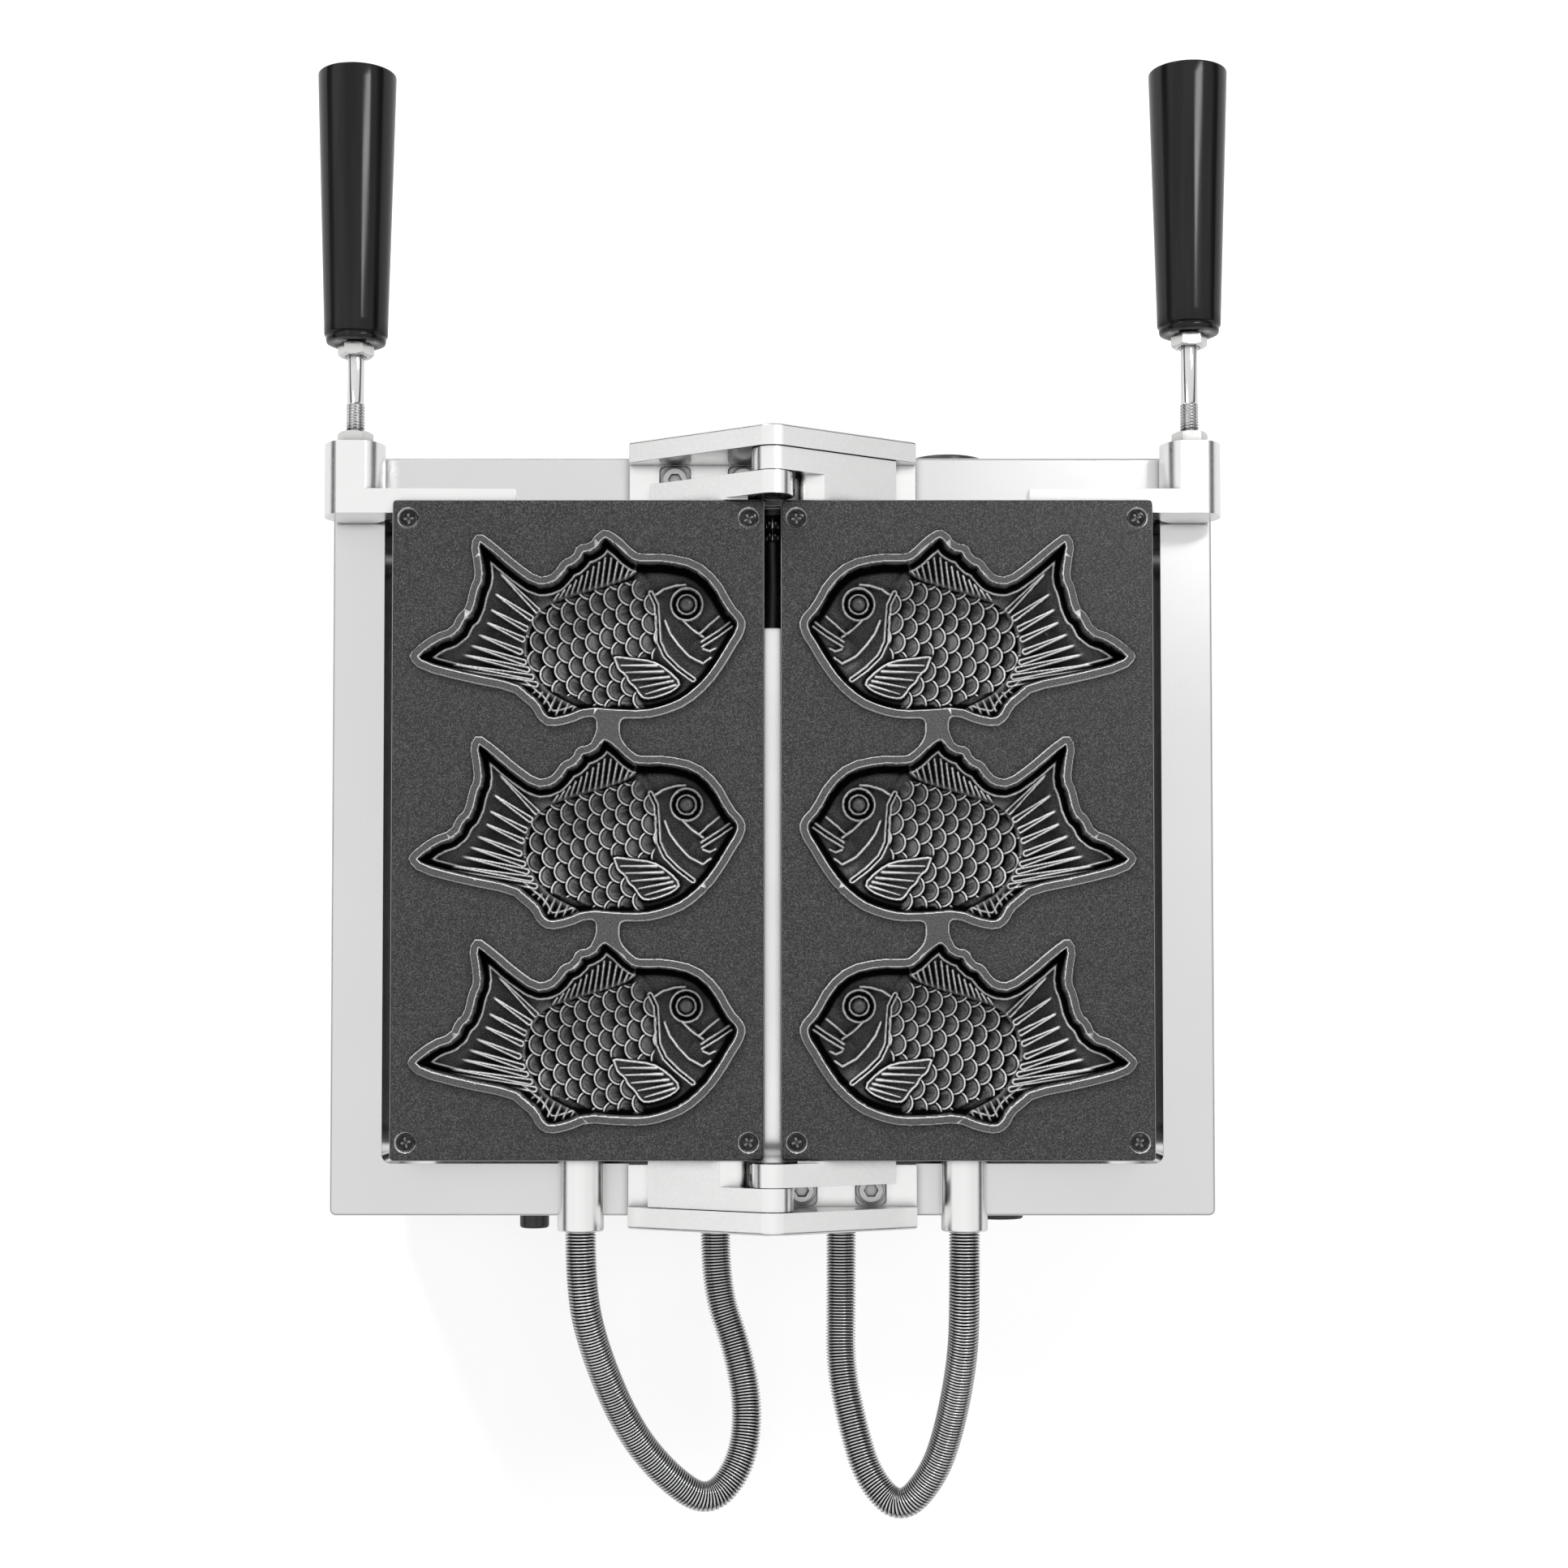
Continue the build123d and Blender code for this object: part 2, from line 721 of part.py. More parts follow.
def plate_screws(side, name):
    """Cross-recessed screws in the plate's corners, down to the cover."""
    centre = side * mould_x
    corners = [(x, y) for x in (-plate_screw_x, plate_screw_x) for y in (-plate_screw_y, plate_screw_y)]
    head_z = face_z - plate_recess_depth
    tip_z = cover_z - sheet
    with BuildPart() as screws:
        with BuildSketch(level(head_z, centre)):
            with Locations(corners):
                Circle(plate_screw_head)
        extrude(amount=plate_screw_head_height)
        with BuildSketch(level(head_z + plate_screw_head_height / 2, centre)):
            with Locations(corners):
                Rectangle(cross_length, cross_width)
                Rectangle(cross_width, cross_length)
        extrude(amount=plate_screw_head_height / 2, mode=Mode.SUBTRACT)
        with BuildSketch(level(tip_z, centre)):
            with Locations(corners):
                Circle(plate_screw_radius)
        extrude(amount=head_z - tip_z)
    write(screws, name)


def heating_element(side, name):
    """Tubular heater bent to four runs, with both ends towards the rear."""
    xs = [(k - (element_runs - 1) / 2) * element_pitch for k in range(element_runs)]
    points = [(xs[0], element_half_run)]
    for k, x in enumerate(xs):
        turn = -element_half_run if k % 2 == 0 else element_half_run
        points.append((x, turn))
        if k < element_runs - 1:
            points.append((xs[k + 1], turn))
    points.append((xs[-1], element_half_run))
    places = [(side * mould_x + x, mid_y + y, element_z) for x, y in dict.fromkeys(points)]
    with BuildPart() as element:
        with BuildLine() as route:
            FilletPolyline(*places, radius=element_bend)
        with BuildSketch(Plane(route.line @ 0, z_dir=route.line % 0)):
            Circle(element_radius)
        sweep()
    write(element, name)


def heater_pieces(side, prefix):
    """Clamp plate, insulation, probe and the cover that close the mould from below."""
    centre = side * mould_x
    inside_width = mould_width - 2 * skirt_wall
    inside_length = mould_length - 2 * skirt_wall
    corners = [(x, y) for x in (-plate_screw_x, plate_screw_x) for y in (-plate_screw_y, plate_screw_y)]
    with BuildPart() as clamp:
        with BuildSketch(level(clamp_z, centre)):
            Rectangle(inside_width - 2 * clamp_margin, inside_length - 2 * clamp_end_margin)
            with Locations(corners):
                Circle(corner_boss_radius + clamp_margin, mode=Mode.SUBTRACT)
        extrude(amount=clamp_thickness)
    write(clamp, f"{prefix}_heater_clamp")
    with BuildPart() as pad:
        with BuildSketch(level(cover_z + sheet, centre)):
            Rectangle(inside_width - 2 * clamp_margin, inside_length - 2 * clamp_end_margin)
            with Locations(corners):
                Circle(corner_boss_radius + clamp_margin, mode=Mode.SUBTRACT)
        extrude(amount=clamp_z - cover_z - sheet)
        with BuildSketch(upright(mould_end - skirt_wall)):
            with Locations((side * gland_x, gland_z)):
                Circle(nipple_nut_flats / 2 + clamp_margin)
        extrude(amount=pad_notch, mode=Mode.SUBTRACT)
    write(pad, f"{prefix}_insulation")
    with BuildPart() as probe:
        with BuildSketch(upright(probe_length / 2)):
            with Locations((centre, slab_z - element_play - probe_radius)):
                Circle(probe_radius)
        extrude(amount=probe_length)
    write(probe, f"{prefix}_temperature_probe")
    with BuildPart() as cover:
        with BuildSketch(level(cover_z, centre)):
            RectangleRounded(mould_width - 2 * cover_inset, mould_length - 2 * cover_inset, mould_corner)
        extrude(amount=cover_drop)
        fillet(cover.faces().sort_by(Axis.Z)[0].edges(), sheet)
        with BuildSketch(level(cover_z + sheet, centre)):
            Rectangle(mould_width - 2 * cover_inset - 2 * sheet, mould_length - 2 * cover_inset - 2 * sheet)
        extrude(amount=cover_drop, mode=Mode.SUBTRACT)
        with BuildSketch(level(cover_z, centre)):
            with Locations(corners):
                Circle(corner_boss_radius)
        extrude(amount=cover_drop)
        with BuildSketch(level(cover_z, centre)):
            with Locations(corners):
                Circle(plate_screw_radius + thread_play)
        extrude(amount=cover_drop, mode=Mode.SUBTRACT)
    write(cover, f"{prefix}_cover")


def sink_screws(end, seat, places):
    """Cut the sunk heads and the clearance holes of mould screws through an arm."""
    head_depth = mould_screw_head_height + hole_play
    with BuildSketch(layer(end, seat - head_depth, seat)) as heads:
        with Locations(places):
            Circle(mould_screw_head + hole_play)
    extrude(heads.sketch, amount=head_depth, mode=Mode.SUBTRACT)
    with BuildSketch(layer(end, mould_end, seat)) as shanks:
        with Locations(places):
            Circle(mould_screw_radius + hole_play)
    extrude(shanks.sketch, amount=seat - mould_end, mode=Mode.SUBTRACT)


def narrow_arm(side, end, name):
    """Arm whose knuckle is the inner one, with the counterbore for the pivot bolt's head."""
    with BuildPart() as arm:
        with BuildSketch(layer(end, inner_face, inner_back)):
            arm_outline(side, narrow_reach)
        extrude(amount=inner_knuckle)
        with BuildSketch(layer(end, mould_end, inner_face)):
            arm_outline(side, narrow_reach)
            with Locations((side * narrow_seat / 2 - side * knuckle_radius, hinge_z)):
                Rectangle(narrow_seat + 2 * knuckle_radius, 4 * knuckle_radius, mode=Mode.SUBTRACT)
            with Locations((0, face_z + narrow_reach)):
                Rectangle(4 * narrow_reach, 2 * narrow_reach, mode=Mode.SUBTRACT)
        extrude(amount=knuckle_offset)
        with BuildSketch(layer(end, inner_face, inner_back)):
            with Locations((0, hinge_z)):
                Circle(pivot_radius + pivot_play)
        extrude(amount=inner_knuckle, mode=Mode.SUBTRACT)
        sunk = pivot_head_height + 3 * hole_play
        with BuildSketch(layer(end, inner_face, inner_face + sunk)):
            with Locations((0, hinge_z)):
                Circle(pivot_head_radius + pivot_head_play)
        extrude(amount=sunk, mode=Mode.SUBTRACT)
        sink_screws(end, inner_back, narrow_screws(side))
    write(arm, name)


def wide_arm(side, end, name):
    """Arm whose knuckle is the outer one, thick up to the mould, with a rounded nose inside."""
    with BuildPart() as arm:
        with BuildSketch(layer(end, outer_face, outer_back)):
            arm_outline(side, wide_reach)
        extrude(amount=outer_knuckle)
        with BuildSketch(layer(end, mould_end, outer_face)):
            arm_outline(side, wide_reach)
            with Locations((side * wide_seat / 2 - side * knuckle_radius, hinge_z)):
                Rectangle(wide_seat + 2 * knuckle_radius, 4 * wide_seat, mode=Mode.SUBTRACT)
            with Locations((side * nose_x, body_top + nose_rise)):
                Circle(nose_radius)
            with Locations((side * (nose_x + wide_seat) / 2, body_top + nose_rise)):
                Rectangle(wide_seat - nose_x, 2 * nose_radius)
        extrude(amount=outer_face - mould_end)
        with BuildSketch(layer(end, outer_face, outer_back)):
            with Locations((0, hinge_z)):
                Circle(pivot_radius + pivot_play)
        extrude(amount=outer_knuckle, mode=Mode.SUBTRACT)
        sink_screws(end, outer_back, wide_screws(side))
    write(arm, name)


def handle_bracket(side, name):
    """Cast handle bracket: a boss beside the mould's front corner and an arm along its front."""
    arm_middle_z = handle_arm_top - handle_arm_height / 2
    with BuildPart() as bracket:
        with BuildSketch(layer(-1, handle_boss_rear, handle_boss_front)):
            with Locations((side * handle_x, handle_z)):
                Circle(handle_boss_radius)
                Rectangle(2 * handle_boss_radius, 2 * handle_boss_flat, mode=Mode.INTERSECT)
        extrude(amount=handle_boss_front - handle_boss_rear)
        web_inside = mould_outer_x + handle_side_gap
        with BuildSketch(layer(-1, handle_boss_rear, handle_boss_rear + handle_web_depth)):
            with Locations((side * (web_inside + handle_x) / 2, arm_middle_z)):
                Rectangle(handle_x - web_inside, handle_arm_height)
        extrude(amount=handle_web_depth)
        with BuildSketch(layer(-1, mould_end, mould_end + handle_arm)):
            with Locations((side * (handle_arm_reach + handle_x) / 2, arm_middle_z)):
                Rectangle(handle_x - handle_arm_reach, handle_arm_height)
        extrude(amount=handle_arm)
        with BuildSketch(layer(-1, handle_boss_front - stud_bite, handle_boss_front)):
            with Locations((side * handle_x, handle_z)):
                Circle(stud_radius + thread_play)
        extrude(amount=stud_bite, mode=Mode.SUBTRACT)
        sink_screws(-1, mould_end + handle_arm, handle_screws(side))
    write(bracket, name)


def mould_screws(side, name):
    """Socket screws of both arms and of the handle bracket."""
    front_knuckle, rear_knuckle = ("narrow", "wide") if side > 0 else ("wide", "narrow")
    sets = [(-1, mould_end + handle_arm, handle_screws(side))]
    for end, kind in ((-1, front_knuckle), (1, rear_knuckle)):
        if kind == "narrow":
            sets.append((end, inner_back, narrow_screws(side)))
        else:
            sets.append((end, outer_back, wide_screws(side)))
    with BuildPart() as screws:
        for end, seat, places in sets:
            head_back = seat - hole_play / 2
            head_front = head_back - mould_screw_head_height
            with BuildSketch(layer(end, head_front, head_back)):
                with Locations(places):
                    Circle(mould_screw_head)
            extrude(amount=mould_screw_head_height)
            with BuildSketch(layer(end, head_back - mould_screw_head_height / 2, head_back)):
                with Locations(places):
                    RegularPolygon(mould_screw_socket / 2, 6, major_radius=False)
            extrude(amount=mould_screw_head_height / 2, mode=Mode.SUBTRACT)
            tip = mould_end - mould_screw_bite + hole_play
            with BuildSketch(layer(end, tip, head_front)):
                with Locations(places):
                    Circle(mould_screw_radius)
            extrude(amount=head_front - tip)
    write(screws, name)


def handle(side_name, side):
    """Threaded stud, its two nuts and the tapered grip."""
    start = grip_starts[side_name]
    thread_end = handle_boss_front + stud_thread
    with BuildPart() as stud:
        spans = (
            (handle_boss_front - stud_bite + hole_play, thread_end, stud_radius),
            (thread_end, start - nut_height - hole_play, stud_shank_radius),
            (start - nut_height - hole_play, start + grip_bore_depth - hole_play, stud_radius),
        )
        for near, far, radius in spans:
            with BuildSketch(layer(-1, near, far)):
                with Locations((side * handle_x, handle_z)):
                    Circle(radius)
            extrude(amount=far - near)
    write(stud, f"{side_name}_handle_stud")
    with BuildPart() as nuts:
        for near in (handle_boss_front, start - nut_height):
            with BuildSketch(layer(-1, near, near + nut_height)):
                with Locations((side * handle_x, handle_z)):
                    RegularPolygon(nut_flats / 2, 6, major_radius=False)
                    Circle(stud_radius + thread_play, mode=Mode.SUBTRACT)
            extrude(amount=nut_height)
    write(nuts, f"{side_name}_handle_nuts")
    with BuildPart() as grip:
        with BuildSketch(level(handle_z, side * handle_x)):
            Polygon(
                (0, -start),
                (grip_base_radius, -start),
                (grip_tip_radius, -start - grip_length),
                (0, -start - grip_length),
                align=None,
            )
        axis = Axis((side * handle_x, mid_y, handle_z), (0, 1, 0))
        revolve(axis=axis)
        rims = grip.edges().filter_by(GeomType.CIRCLE).sort_by(Axis.Y)
        fillet(rims[0], grip_tip_rounding)
        fillet(grip.edges().filter_by(GeomType.CIRCLE).sort_by(Axis.Y)[-1], grip_base_rounding)
        with BuildSketch(layer(-1, start, start + grip_bore_depth)):
            with Locations((side * handle_x, handle_z)):
                Circle(stud_radius + thread_play)
        extrude(amount=grip_bore_depth, mode=Mode.SUBTRACT)
    write(grip, f"{side_name}_handle_grip")


def gland(side, name):
    """Aluminium tube on the mould's rear wall that holds the conduit, with its lock nut inside."""
    inside = mould_end - nipple_length
    with BuildPart() as tube:
        with BuildSketch(upright(gland_reach)):
            with Locations((side * gland_x, gland_z)):
                Circle(gland_radius)
        extrude(amount=gland_reach - mould_end)
        fillet(tube.edges().filter_by(GeomType.CIRCLE).sort_by(Axis.Y)[-1], gland_rounding)
        with BuildSketch(upright(mould_end)):
            with Locations((side * gland_x, gland_z)):
                Circle(nipple_radius)
        extrude(amount=mould_end - inside)
        with BuildSketch(upright(mould_end - skirt_wall - hole_play)):
            with Locations((side * gland_x, gland_z)):
                RegularPolygon(nipple_nut_flats / 2, 6, major_radius=False)
        extrude(amount=nipple_nut)
        with BuildSketch(upright(gland_reach)):
            with Locations((side * gland_x, gland_z)):
                Circle(hose_bore_radius)
        extrude(amount=gland_reach - inside, mode=Mode.SUBTRACT)
    write(tube, name)


for side_name, side in SIDES.items():
    near_kind = narrow_arm if side > 0 else wide_arm
    far_kind = wide_arm if side > 0 else narrow_arm
    mould_plate(side, f"{side_name}_mould_plate")
    plate_screws(side, f"{side_name}_plate_screws")
    heating_element(side, f"{side_name}_heating_element")
    heater_pieces(side, side_name)
    near_kind(side, -1, f"{side_name}_front_arm")
    far_kind(side, 1, f"{side_name}_rear_arm")
    handle_bracket(side, f"{side_name}_handle_bracket")
    mould_screws(side, f"{side_name}_mould_screws")
    handle(side_name, side)
    gland(side, f"{side_name}_gland")

# Fittings that pass the conduits through the rear wall
with BuildPart() as conduit_fittings:
    for x in fitting_xs.values():
        with BuildSketch(upright(half_depth + fitting_nut)):
            with Locations((x, fitting_z)):
                RegularPolygon(fitting_flats / 2, 6, major_radius=False)
        extrude(amount=fitting_nut)
        with BuildSketch(upright(fitting_reach)):
            with Locations((x, fitting_z)):
                Circle(fitting_radius)
        extrude(amount=fitting_reach - half_depth - fitting_nut)
        with BuildSketch(upright(half_depth)):
            with Locations((x, fitting_z)):
                Circle(fitting_thread_radius)
        extrude(amount=fitting_tail)
        with BuildSketch(upright(panel_inside)):
            with Locations((x, fitting_z)):
                RegularPolygon(fitting_flats / 2, 6, major_radius=False)
        extrude(amount=fitting_nut)
        with BuildSketch(upright(fitting_reach)):
            with Locations((x, fitting_z)):
                Circle(hose_bore_radius)
        extrude(amount=fitting_reach - half_depth + fitting_tail, mode=Mode.SUBTRACT)
write(conduit_fittings, "conduit_fittings")

# Routes of the two conduits: straight out of the gland, round behind the machine and back in.
# Each point is (x, y from the middle of the housing, height).
conduit_points = {
    "right": [
        (gland_x, gland_reach, gland_z),
        (gland_x, 188.0, gland_z),
        (73.0, 214.0, 144.0),
        (60.5, 246.0, 133.0),
        (45.0, 267.0, 126.0),
        (27.0, 280.5, 120.5),
        (13.5, 266.0, 115.0),
        (10.0, 243.0, 109.0),
        (15.0, 217.5, 103.5),
        (fitting_xs["right"], 191.5, fitting_z),
        (fitting_xs["right"], fitting_reach, fitting_z),
    ],
    "left": [
        (-gland_x, gland_reach, gland_z),
        (-gland_x, 188.0, gland_z),
        (-78.5, 215.0, 144.0),
        (-74.0, 245.0, 133.0),
        (-67.5, 267.0, 126.0),
        (-54.0, 283.5, 120.5),
        (-40.5, 270.5, 115.0),
        (-34.0, 249.0, 109.0),
        (-29.0, 225.0, 103.5),
        (fitting_xs["left"], 197.0, fitting_z),
        (fitting_xs["left"], fitting_reach, fitting_z),
    ],
}


def bend_radii(points):
    """Radius of each corner of a route: a share of the shorter run over the tangent of half the turn."""
    radii = []
    for before, at, after in zip(points, points[1:], points[2:]):
        run_in = Vector(*at) - Vector(*before)
        run_out = Vector(*after) - Vector(*at)
        turn = math.radians(run_in.get_angle(run_out))
        radii.append(bend_share * min(run_in.length, run_out.length) / math.tan(turn / 2))
    return radii


def ring_spans(line, ribs):
    """Places and radii of the four circles of every rib, in short spans that share an end."""
    pitch = line.length / ribs
    profile = (
        (0.0, hose_root_radius),
        (rib_crest_start, hose_radius),
        (rib_crest_end, hose_radius),
        (rib_root_start, hose_root_radius),
    )
    edges = [ribs * k // hose_spans for k in range(hose_spans + 1)]
    for first, last in zip(edges, edges[1:]):
        rings = [((rib + share) * pitch, radius) for rib in range(first, last) for share, radius in profile]
        yield rings + [(last * pitch, hose_root_radius)]


def conduit(points, name):
    """Ribbed steel conduit: rings lofted along the route, with an open bore."""
    places = [(x, mid_y + y, z) for x, y, z in points]
    radii = bend_radii(places)
    with BuildLine() as route:
        FilletPolyline(*places, radius=radii)
    line = route.wire()
    ribs = round(line.length / hose_rib_pitch)
    steady = Vector(0, 0, 1)

    def ring(distance, radius):
        share = min(distance / line.length, 1.0)
        along = line.tangent_at(share)
        across = steady - along * along.dot(steady)
        return Wire(Edge.make_circle(radius, Plane(line.position_at(share), x_dir=across, z_dir=along)))

    spans = [
        Solid.make_loft([ring(distance, radius) for distance, radius in rings], ruled=True)
        for rings in ring_spans(line, ribs)
    ]
    with BuildPart() as hose:
        add(spans[0].fuse(*spans[1:], glue=True))
        with BuildSketch(Plane(line @ 0, z_dir=line % 0)):
            Circle(hose_bore_radius)
        sweep(path=line, mode=Mode.SUBTRACT, clean=False)
    stations = [line.position_at(k / gap_steps) for k in range(gap_steps + 1)]
    apart = [
        (stations[a] - stations[b]).length
        for a in range(gap_steps + 1)
        for b in range(a + gap_steps // 5, gap_steps + 1)
    ]
    section = math.pi * (hose_radius**2 + hose_root_radius**2 - 2 * hose_bore_radius**2) / 2
    print(name, "bend radii", [round(radius, 1) for radius in radii])
    print(name, "length", round(line.length, 1), "ribs", ribs)
    print(name, "least gap to itself", round(min(apart) - 2 * hose_radius, 1))
    print(name, "volume", round(hose.part.volume), "section times length", round(section * line.length))
    write(hose, name)


for side_name in SIDES:
    conduit(conduit_points[side_name], f"{side_name}_conduit")


def dial(x, name):
    """Thermostat or timer behind the front panel, with its bush through the panel."""
    with BuildPart() as control:
        with BuildSketch(upright(-panel_inside + control_depth)):
            with Locations((x, control_z)):
                RectangleRounded(control_side, control_side, edge_radius)
        extrude(amount=control_depth)
        with BuildSketch(upright(-panel_inside)):
            with Locations((x, control_z)):
                Circle(bush_radius)
        extrude(amount=sheet)
        with BuildSketch(upright(-half_depth + spindle_length + sheet)):
            with Locations((x, control_z)):
                Circle(spindle_radius + spindle_play)
        extrude(amount=spindle_length + sheet, mode=Mode.SUBTRACT)
    write(control, name)


def knob(x, name):
    """Round knob on its flatted spindle, with a pointer groove and a finger grip across."""
    face = half_depth + knob_gap
    with BuildPart() as cap:
        with BuildSketch(layer(-1, face, face + knob_length)):
            with Locations((x, control_z)):
                Circle(knob_radius)
        extrude(amount=knob_length)
        fillet(cap.edges().filter_by(GeomType.CIRCLE).sort_by(Axis.Y)[0], knob_rounding)
        with BuildSketch(layer(-1, face + knob_length - pointer_depth, face + knob_length)):
            with Locations((x, control_z + knob_radius / 2)):
                Rectangle(pointer_width, pointer_length)
        extrude(amount=pointer_depth, mode=Mode.SUBTRACT)
        with BuildSketch(upright(-face + spindle_length)):
            with Locations((x, control_z)):
                Circle(spindle_radius)
        extrude(amount=spindle_length)
    write(cap, name)


dial(temperature_x, "thermostat")
dial(timer_x, "timer")
knob(temperature_x, "temperature_knob")
knob(timer_x, "timer_knob")

# Rocker switch: bezel with its body behind the panel, and the rocker on a cross pin
with BuildPart() as switch_body:
    with BuildSketch(layer(-1, half_depth, half_depth + bezel_height)):
        with Locations((switch_x, control_z)):
            RectangleRounded(switch_width + 2 * bezel_wall, switch_height + 2 * bezel_wall, bezel_wall)
    extrude(amount=bezel_height)
    with BuildSketch(upright(-half_depth + switch_depth)):
        with Locations((switch_x, control_z)):
            Rectangle(switch_width, switch_height)
    extrude(amount=switch_depth)
    with BuildSketch(upright(-half_depth + switch_depth / 2)):
        with Locations((switch_x, control_z)):
            Rectangle(switch_width - 2 * bezel_wall, switch_height - 2 * bezel_wall)
    extrude(amount=switch_depth / 2 + bezel_height, mode=Mode.SUBTRACT)
write(switch_body, "switch_body")

rocker_half = switch_height / 2 - bezel_wall - rocker_play
rocker_axis_y = -half_depth + rocker_play
with BuildPart() as switch_rocker:
    with BuildSketch(sideways(switch_x - switch_width / 2 + bezel_wall + rocker_play)):
        with Locations((rocker_axis_y, control_z)):
            Circle(rocker_half)
        lean = math.tan(math.radians(rocker_tilt)) * rocker_half
        Polygon(
            (rocker_axis_y - bezel_height, control_z - rocker_half),
            (rocker_axis_y - bezel_height + lean, control_z),
            (rocker_axis_y - bezel_height - lean, control_z + rocker_half),
            (rocker_axis_y + rocker_half / 2, control_z + rocker_half),
            (rocker_axis_y + rocker_half / 2, control_z - rocker_half),
            align=None,
            mode=Mode.INTERSECT,
        )
    extrude(amount=switch_width - 2 * bezel_wall - 2 * rocker_play)
write(switch_rocker, "switch_rocker")

# Two indicator lamps with their flanges on the panel
with BuildPart() as indicator_lamps:
    for x in lamp_xs:
        with BuildSketch(layer(-1, half_depth, half_depth + lamp_flange_height)):
            with Locations((x, control_z)):
                Circle(lamp_flange)
        extrude(amount=lamp_flange_height)
        with BuildSketch(layer(-1, half_depth, half_depth + 2 * lamp_flange_height)):
            with Locations((x, control_z)):
                Circle(lamp_radius)
        extrude(amount=2 * lamp_flange_height)
        with BuildSketch(upright(-half_depth + lamp_depth)):
            with Locations((x, control_z)):
                Circle(lamp_radius)
        extrude(amount=lamp_depth)
write(indicator_lamps, "indicator_lamps")

# Fuse holder with its screw cap on the rear wall
with BuildPart() as fuse_holder:
    with BuildSketch(upright(half_depth + fuse_flange)):
        with Locations((fuse_x, rear_item_z)):
            Circle(fuse_flange_radius)
    extrude(amount=fuse_flange)
    with BuildSketch(upright(half_depth)):
        with Locations((fuse_x, rear_item_z)):
            Circle(fuse_radius)
    extrude(amount=fuse_tail)
write(fuse_holder, "fuse_holder")

with BuildPart() as fuse_cap:
    with BuildSketch(upright(half_depth + fuse_reach)):
        with Locations((fuse_x, rear_item_z)):
            Circle(fuse_radius)
    extrude(amount=fuse_reach - fuse_flange)
    chamfer(fuse_cap.edges().filter_by(GeomType.CIRCLE).sort_by(Axis.Y)[-1], fuse_flange / 2)
write(fuse_cap, "fuse_cap")

# Cable bush for the mains lead in the rear wall
with BuildPart() as cord_inlet:
    with BuildSketch(upright(half_depth)):
        with Locations((inlet_x, rear_item_z)):
            Circle(inlet_neck_radius)
    extrude(amount=inlet_tail)
    with BuildSketch(upright(half_depth)):
        with Locations((inlet_x, rear_item_z)):
            Circle(inlet_radius)
    extrude(amount=-inlet_reach, taper=inlet_taper)
    with BuildSketch(upright(half_depth + inlet_reach)):
        with Locations((inlet_x, rear_item_z)):
            Circle(cable_radius)
    extrude(amount=inlet_reach + inlet_tail, mode=Mode.SUBTRACT)
write(cord_inlet, "cord_inlet")

# Terminal block on the base plate, below the well
with BuildPart() as terminal_block:
    with BuildSketch(level(body_bottom + sheet, y=block_y)):
        Rectangle(block_length, block_width)
    extrude(amount=block_height)
    with BuildSketch(level(body_bottom + sheet + block_height / 2, y=block_y)):
        with GridLocations(block_length / block_ways, block_width, block_ways, 2):
            Rectangle(terminal_width, terminal_depth)
    extrude(amount=block_height / 2, mode=Mode.SUBTRACT)
write(terminal_block, "terminal_block")
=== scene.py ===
import bmesh
import bpy
import json
import math
import numpy as np
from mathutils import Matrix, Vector


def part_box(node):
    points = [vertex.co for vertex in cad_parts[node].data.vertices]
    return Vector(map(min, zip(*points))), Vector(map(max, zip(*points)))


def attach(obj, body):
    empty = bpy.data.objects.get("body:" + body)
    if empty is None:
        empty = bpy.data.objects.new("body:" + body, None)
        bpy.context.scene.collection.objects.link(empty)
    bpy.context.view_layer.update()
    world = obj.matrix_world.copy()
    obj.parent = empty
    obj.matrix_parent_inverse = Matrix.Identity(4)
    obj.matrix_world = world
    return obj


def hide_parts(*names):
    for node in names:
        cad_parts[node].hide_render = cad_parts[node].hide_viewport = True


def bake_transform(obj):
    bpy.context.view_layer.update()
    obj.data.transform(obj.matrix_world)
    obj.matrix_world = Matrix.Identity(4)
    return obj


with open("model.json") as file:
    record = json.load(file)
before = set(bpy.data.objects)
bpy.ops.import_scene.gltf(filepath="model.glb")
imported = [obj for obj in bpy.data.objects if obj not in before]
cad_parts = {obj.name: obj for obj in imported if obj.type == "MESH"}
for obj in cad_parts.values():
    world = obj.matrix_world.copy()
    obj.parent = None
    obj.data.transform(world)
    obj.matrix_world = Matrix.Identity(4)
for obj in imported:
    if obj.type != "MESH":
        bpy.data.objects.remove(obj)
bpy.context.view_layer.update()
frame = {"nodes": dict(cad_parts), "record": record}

# Sizes of the part, in millimetres
MM = 0.001
MID_Y = 74.0
LAND_Z = 173.85
LAND_HEIGHT = 1.5
SLAB = 14.5
SKIRT = 34.0
SKIRT_WALL = 6.0
MOULD_WIDTH = 150.65
MOULD_LENGTH = 267.4
MOULD_X = 3.35 + MOULD_WIDTH / 2
MOULD_END = MOULD_LENGTH / 2
HANDLE_X = 172.5
HANDLE_Z = 151.7
FISH_PITCH = 82.0
FISH_SHIFT = 1.0
PLATE_SCREWS = [(x, y) for x in (-69.0, 69.0) for y in (-126.3, 126.3)]
SCREW_TOP = LAND_Z - LAND_HEIGHT - 0.9
SIDES = {"left": -1, "right": 1}

record = frame["record"]
SLOT_OF = {part["node"]: part["material_slot"] for part in record["subparts"]}
BODY_OF = {node: body for body, nodes in record["behaviour"]["bodies"].items() for node in nodes}


# Materials
def grey(tone):
    return (tone, tone, tone)


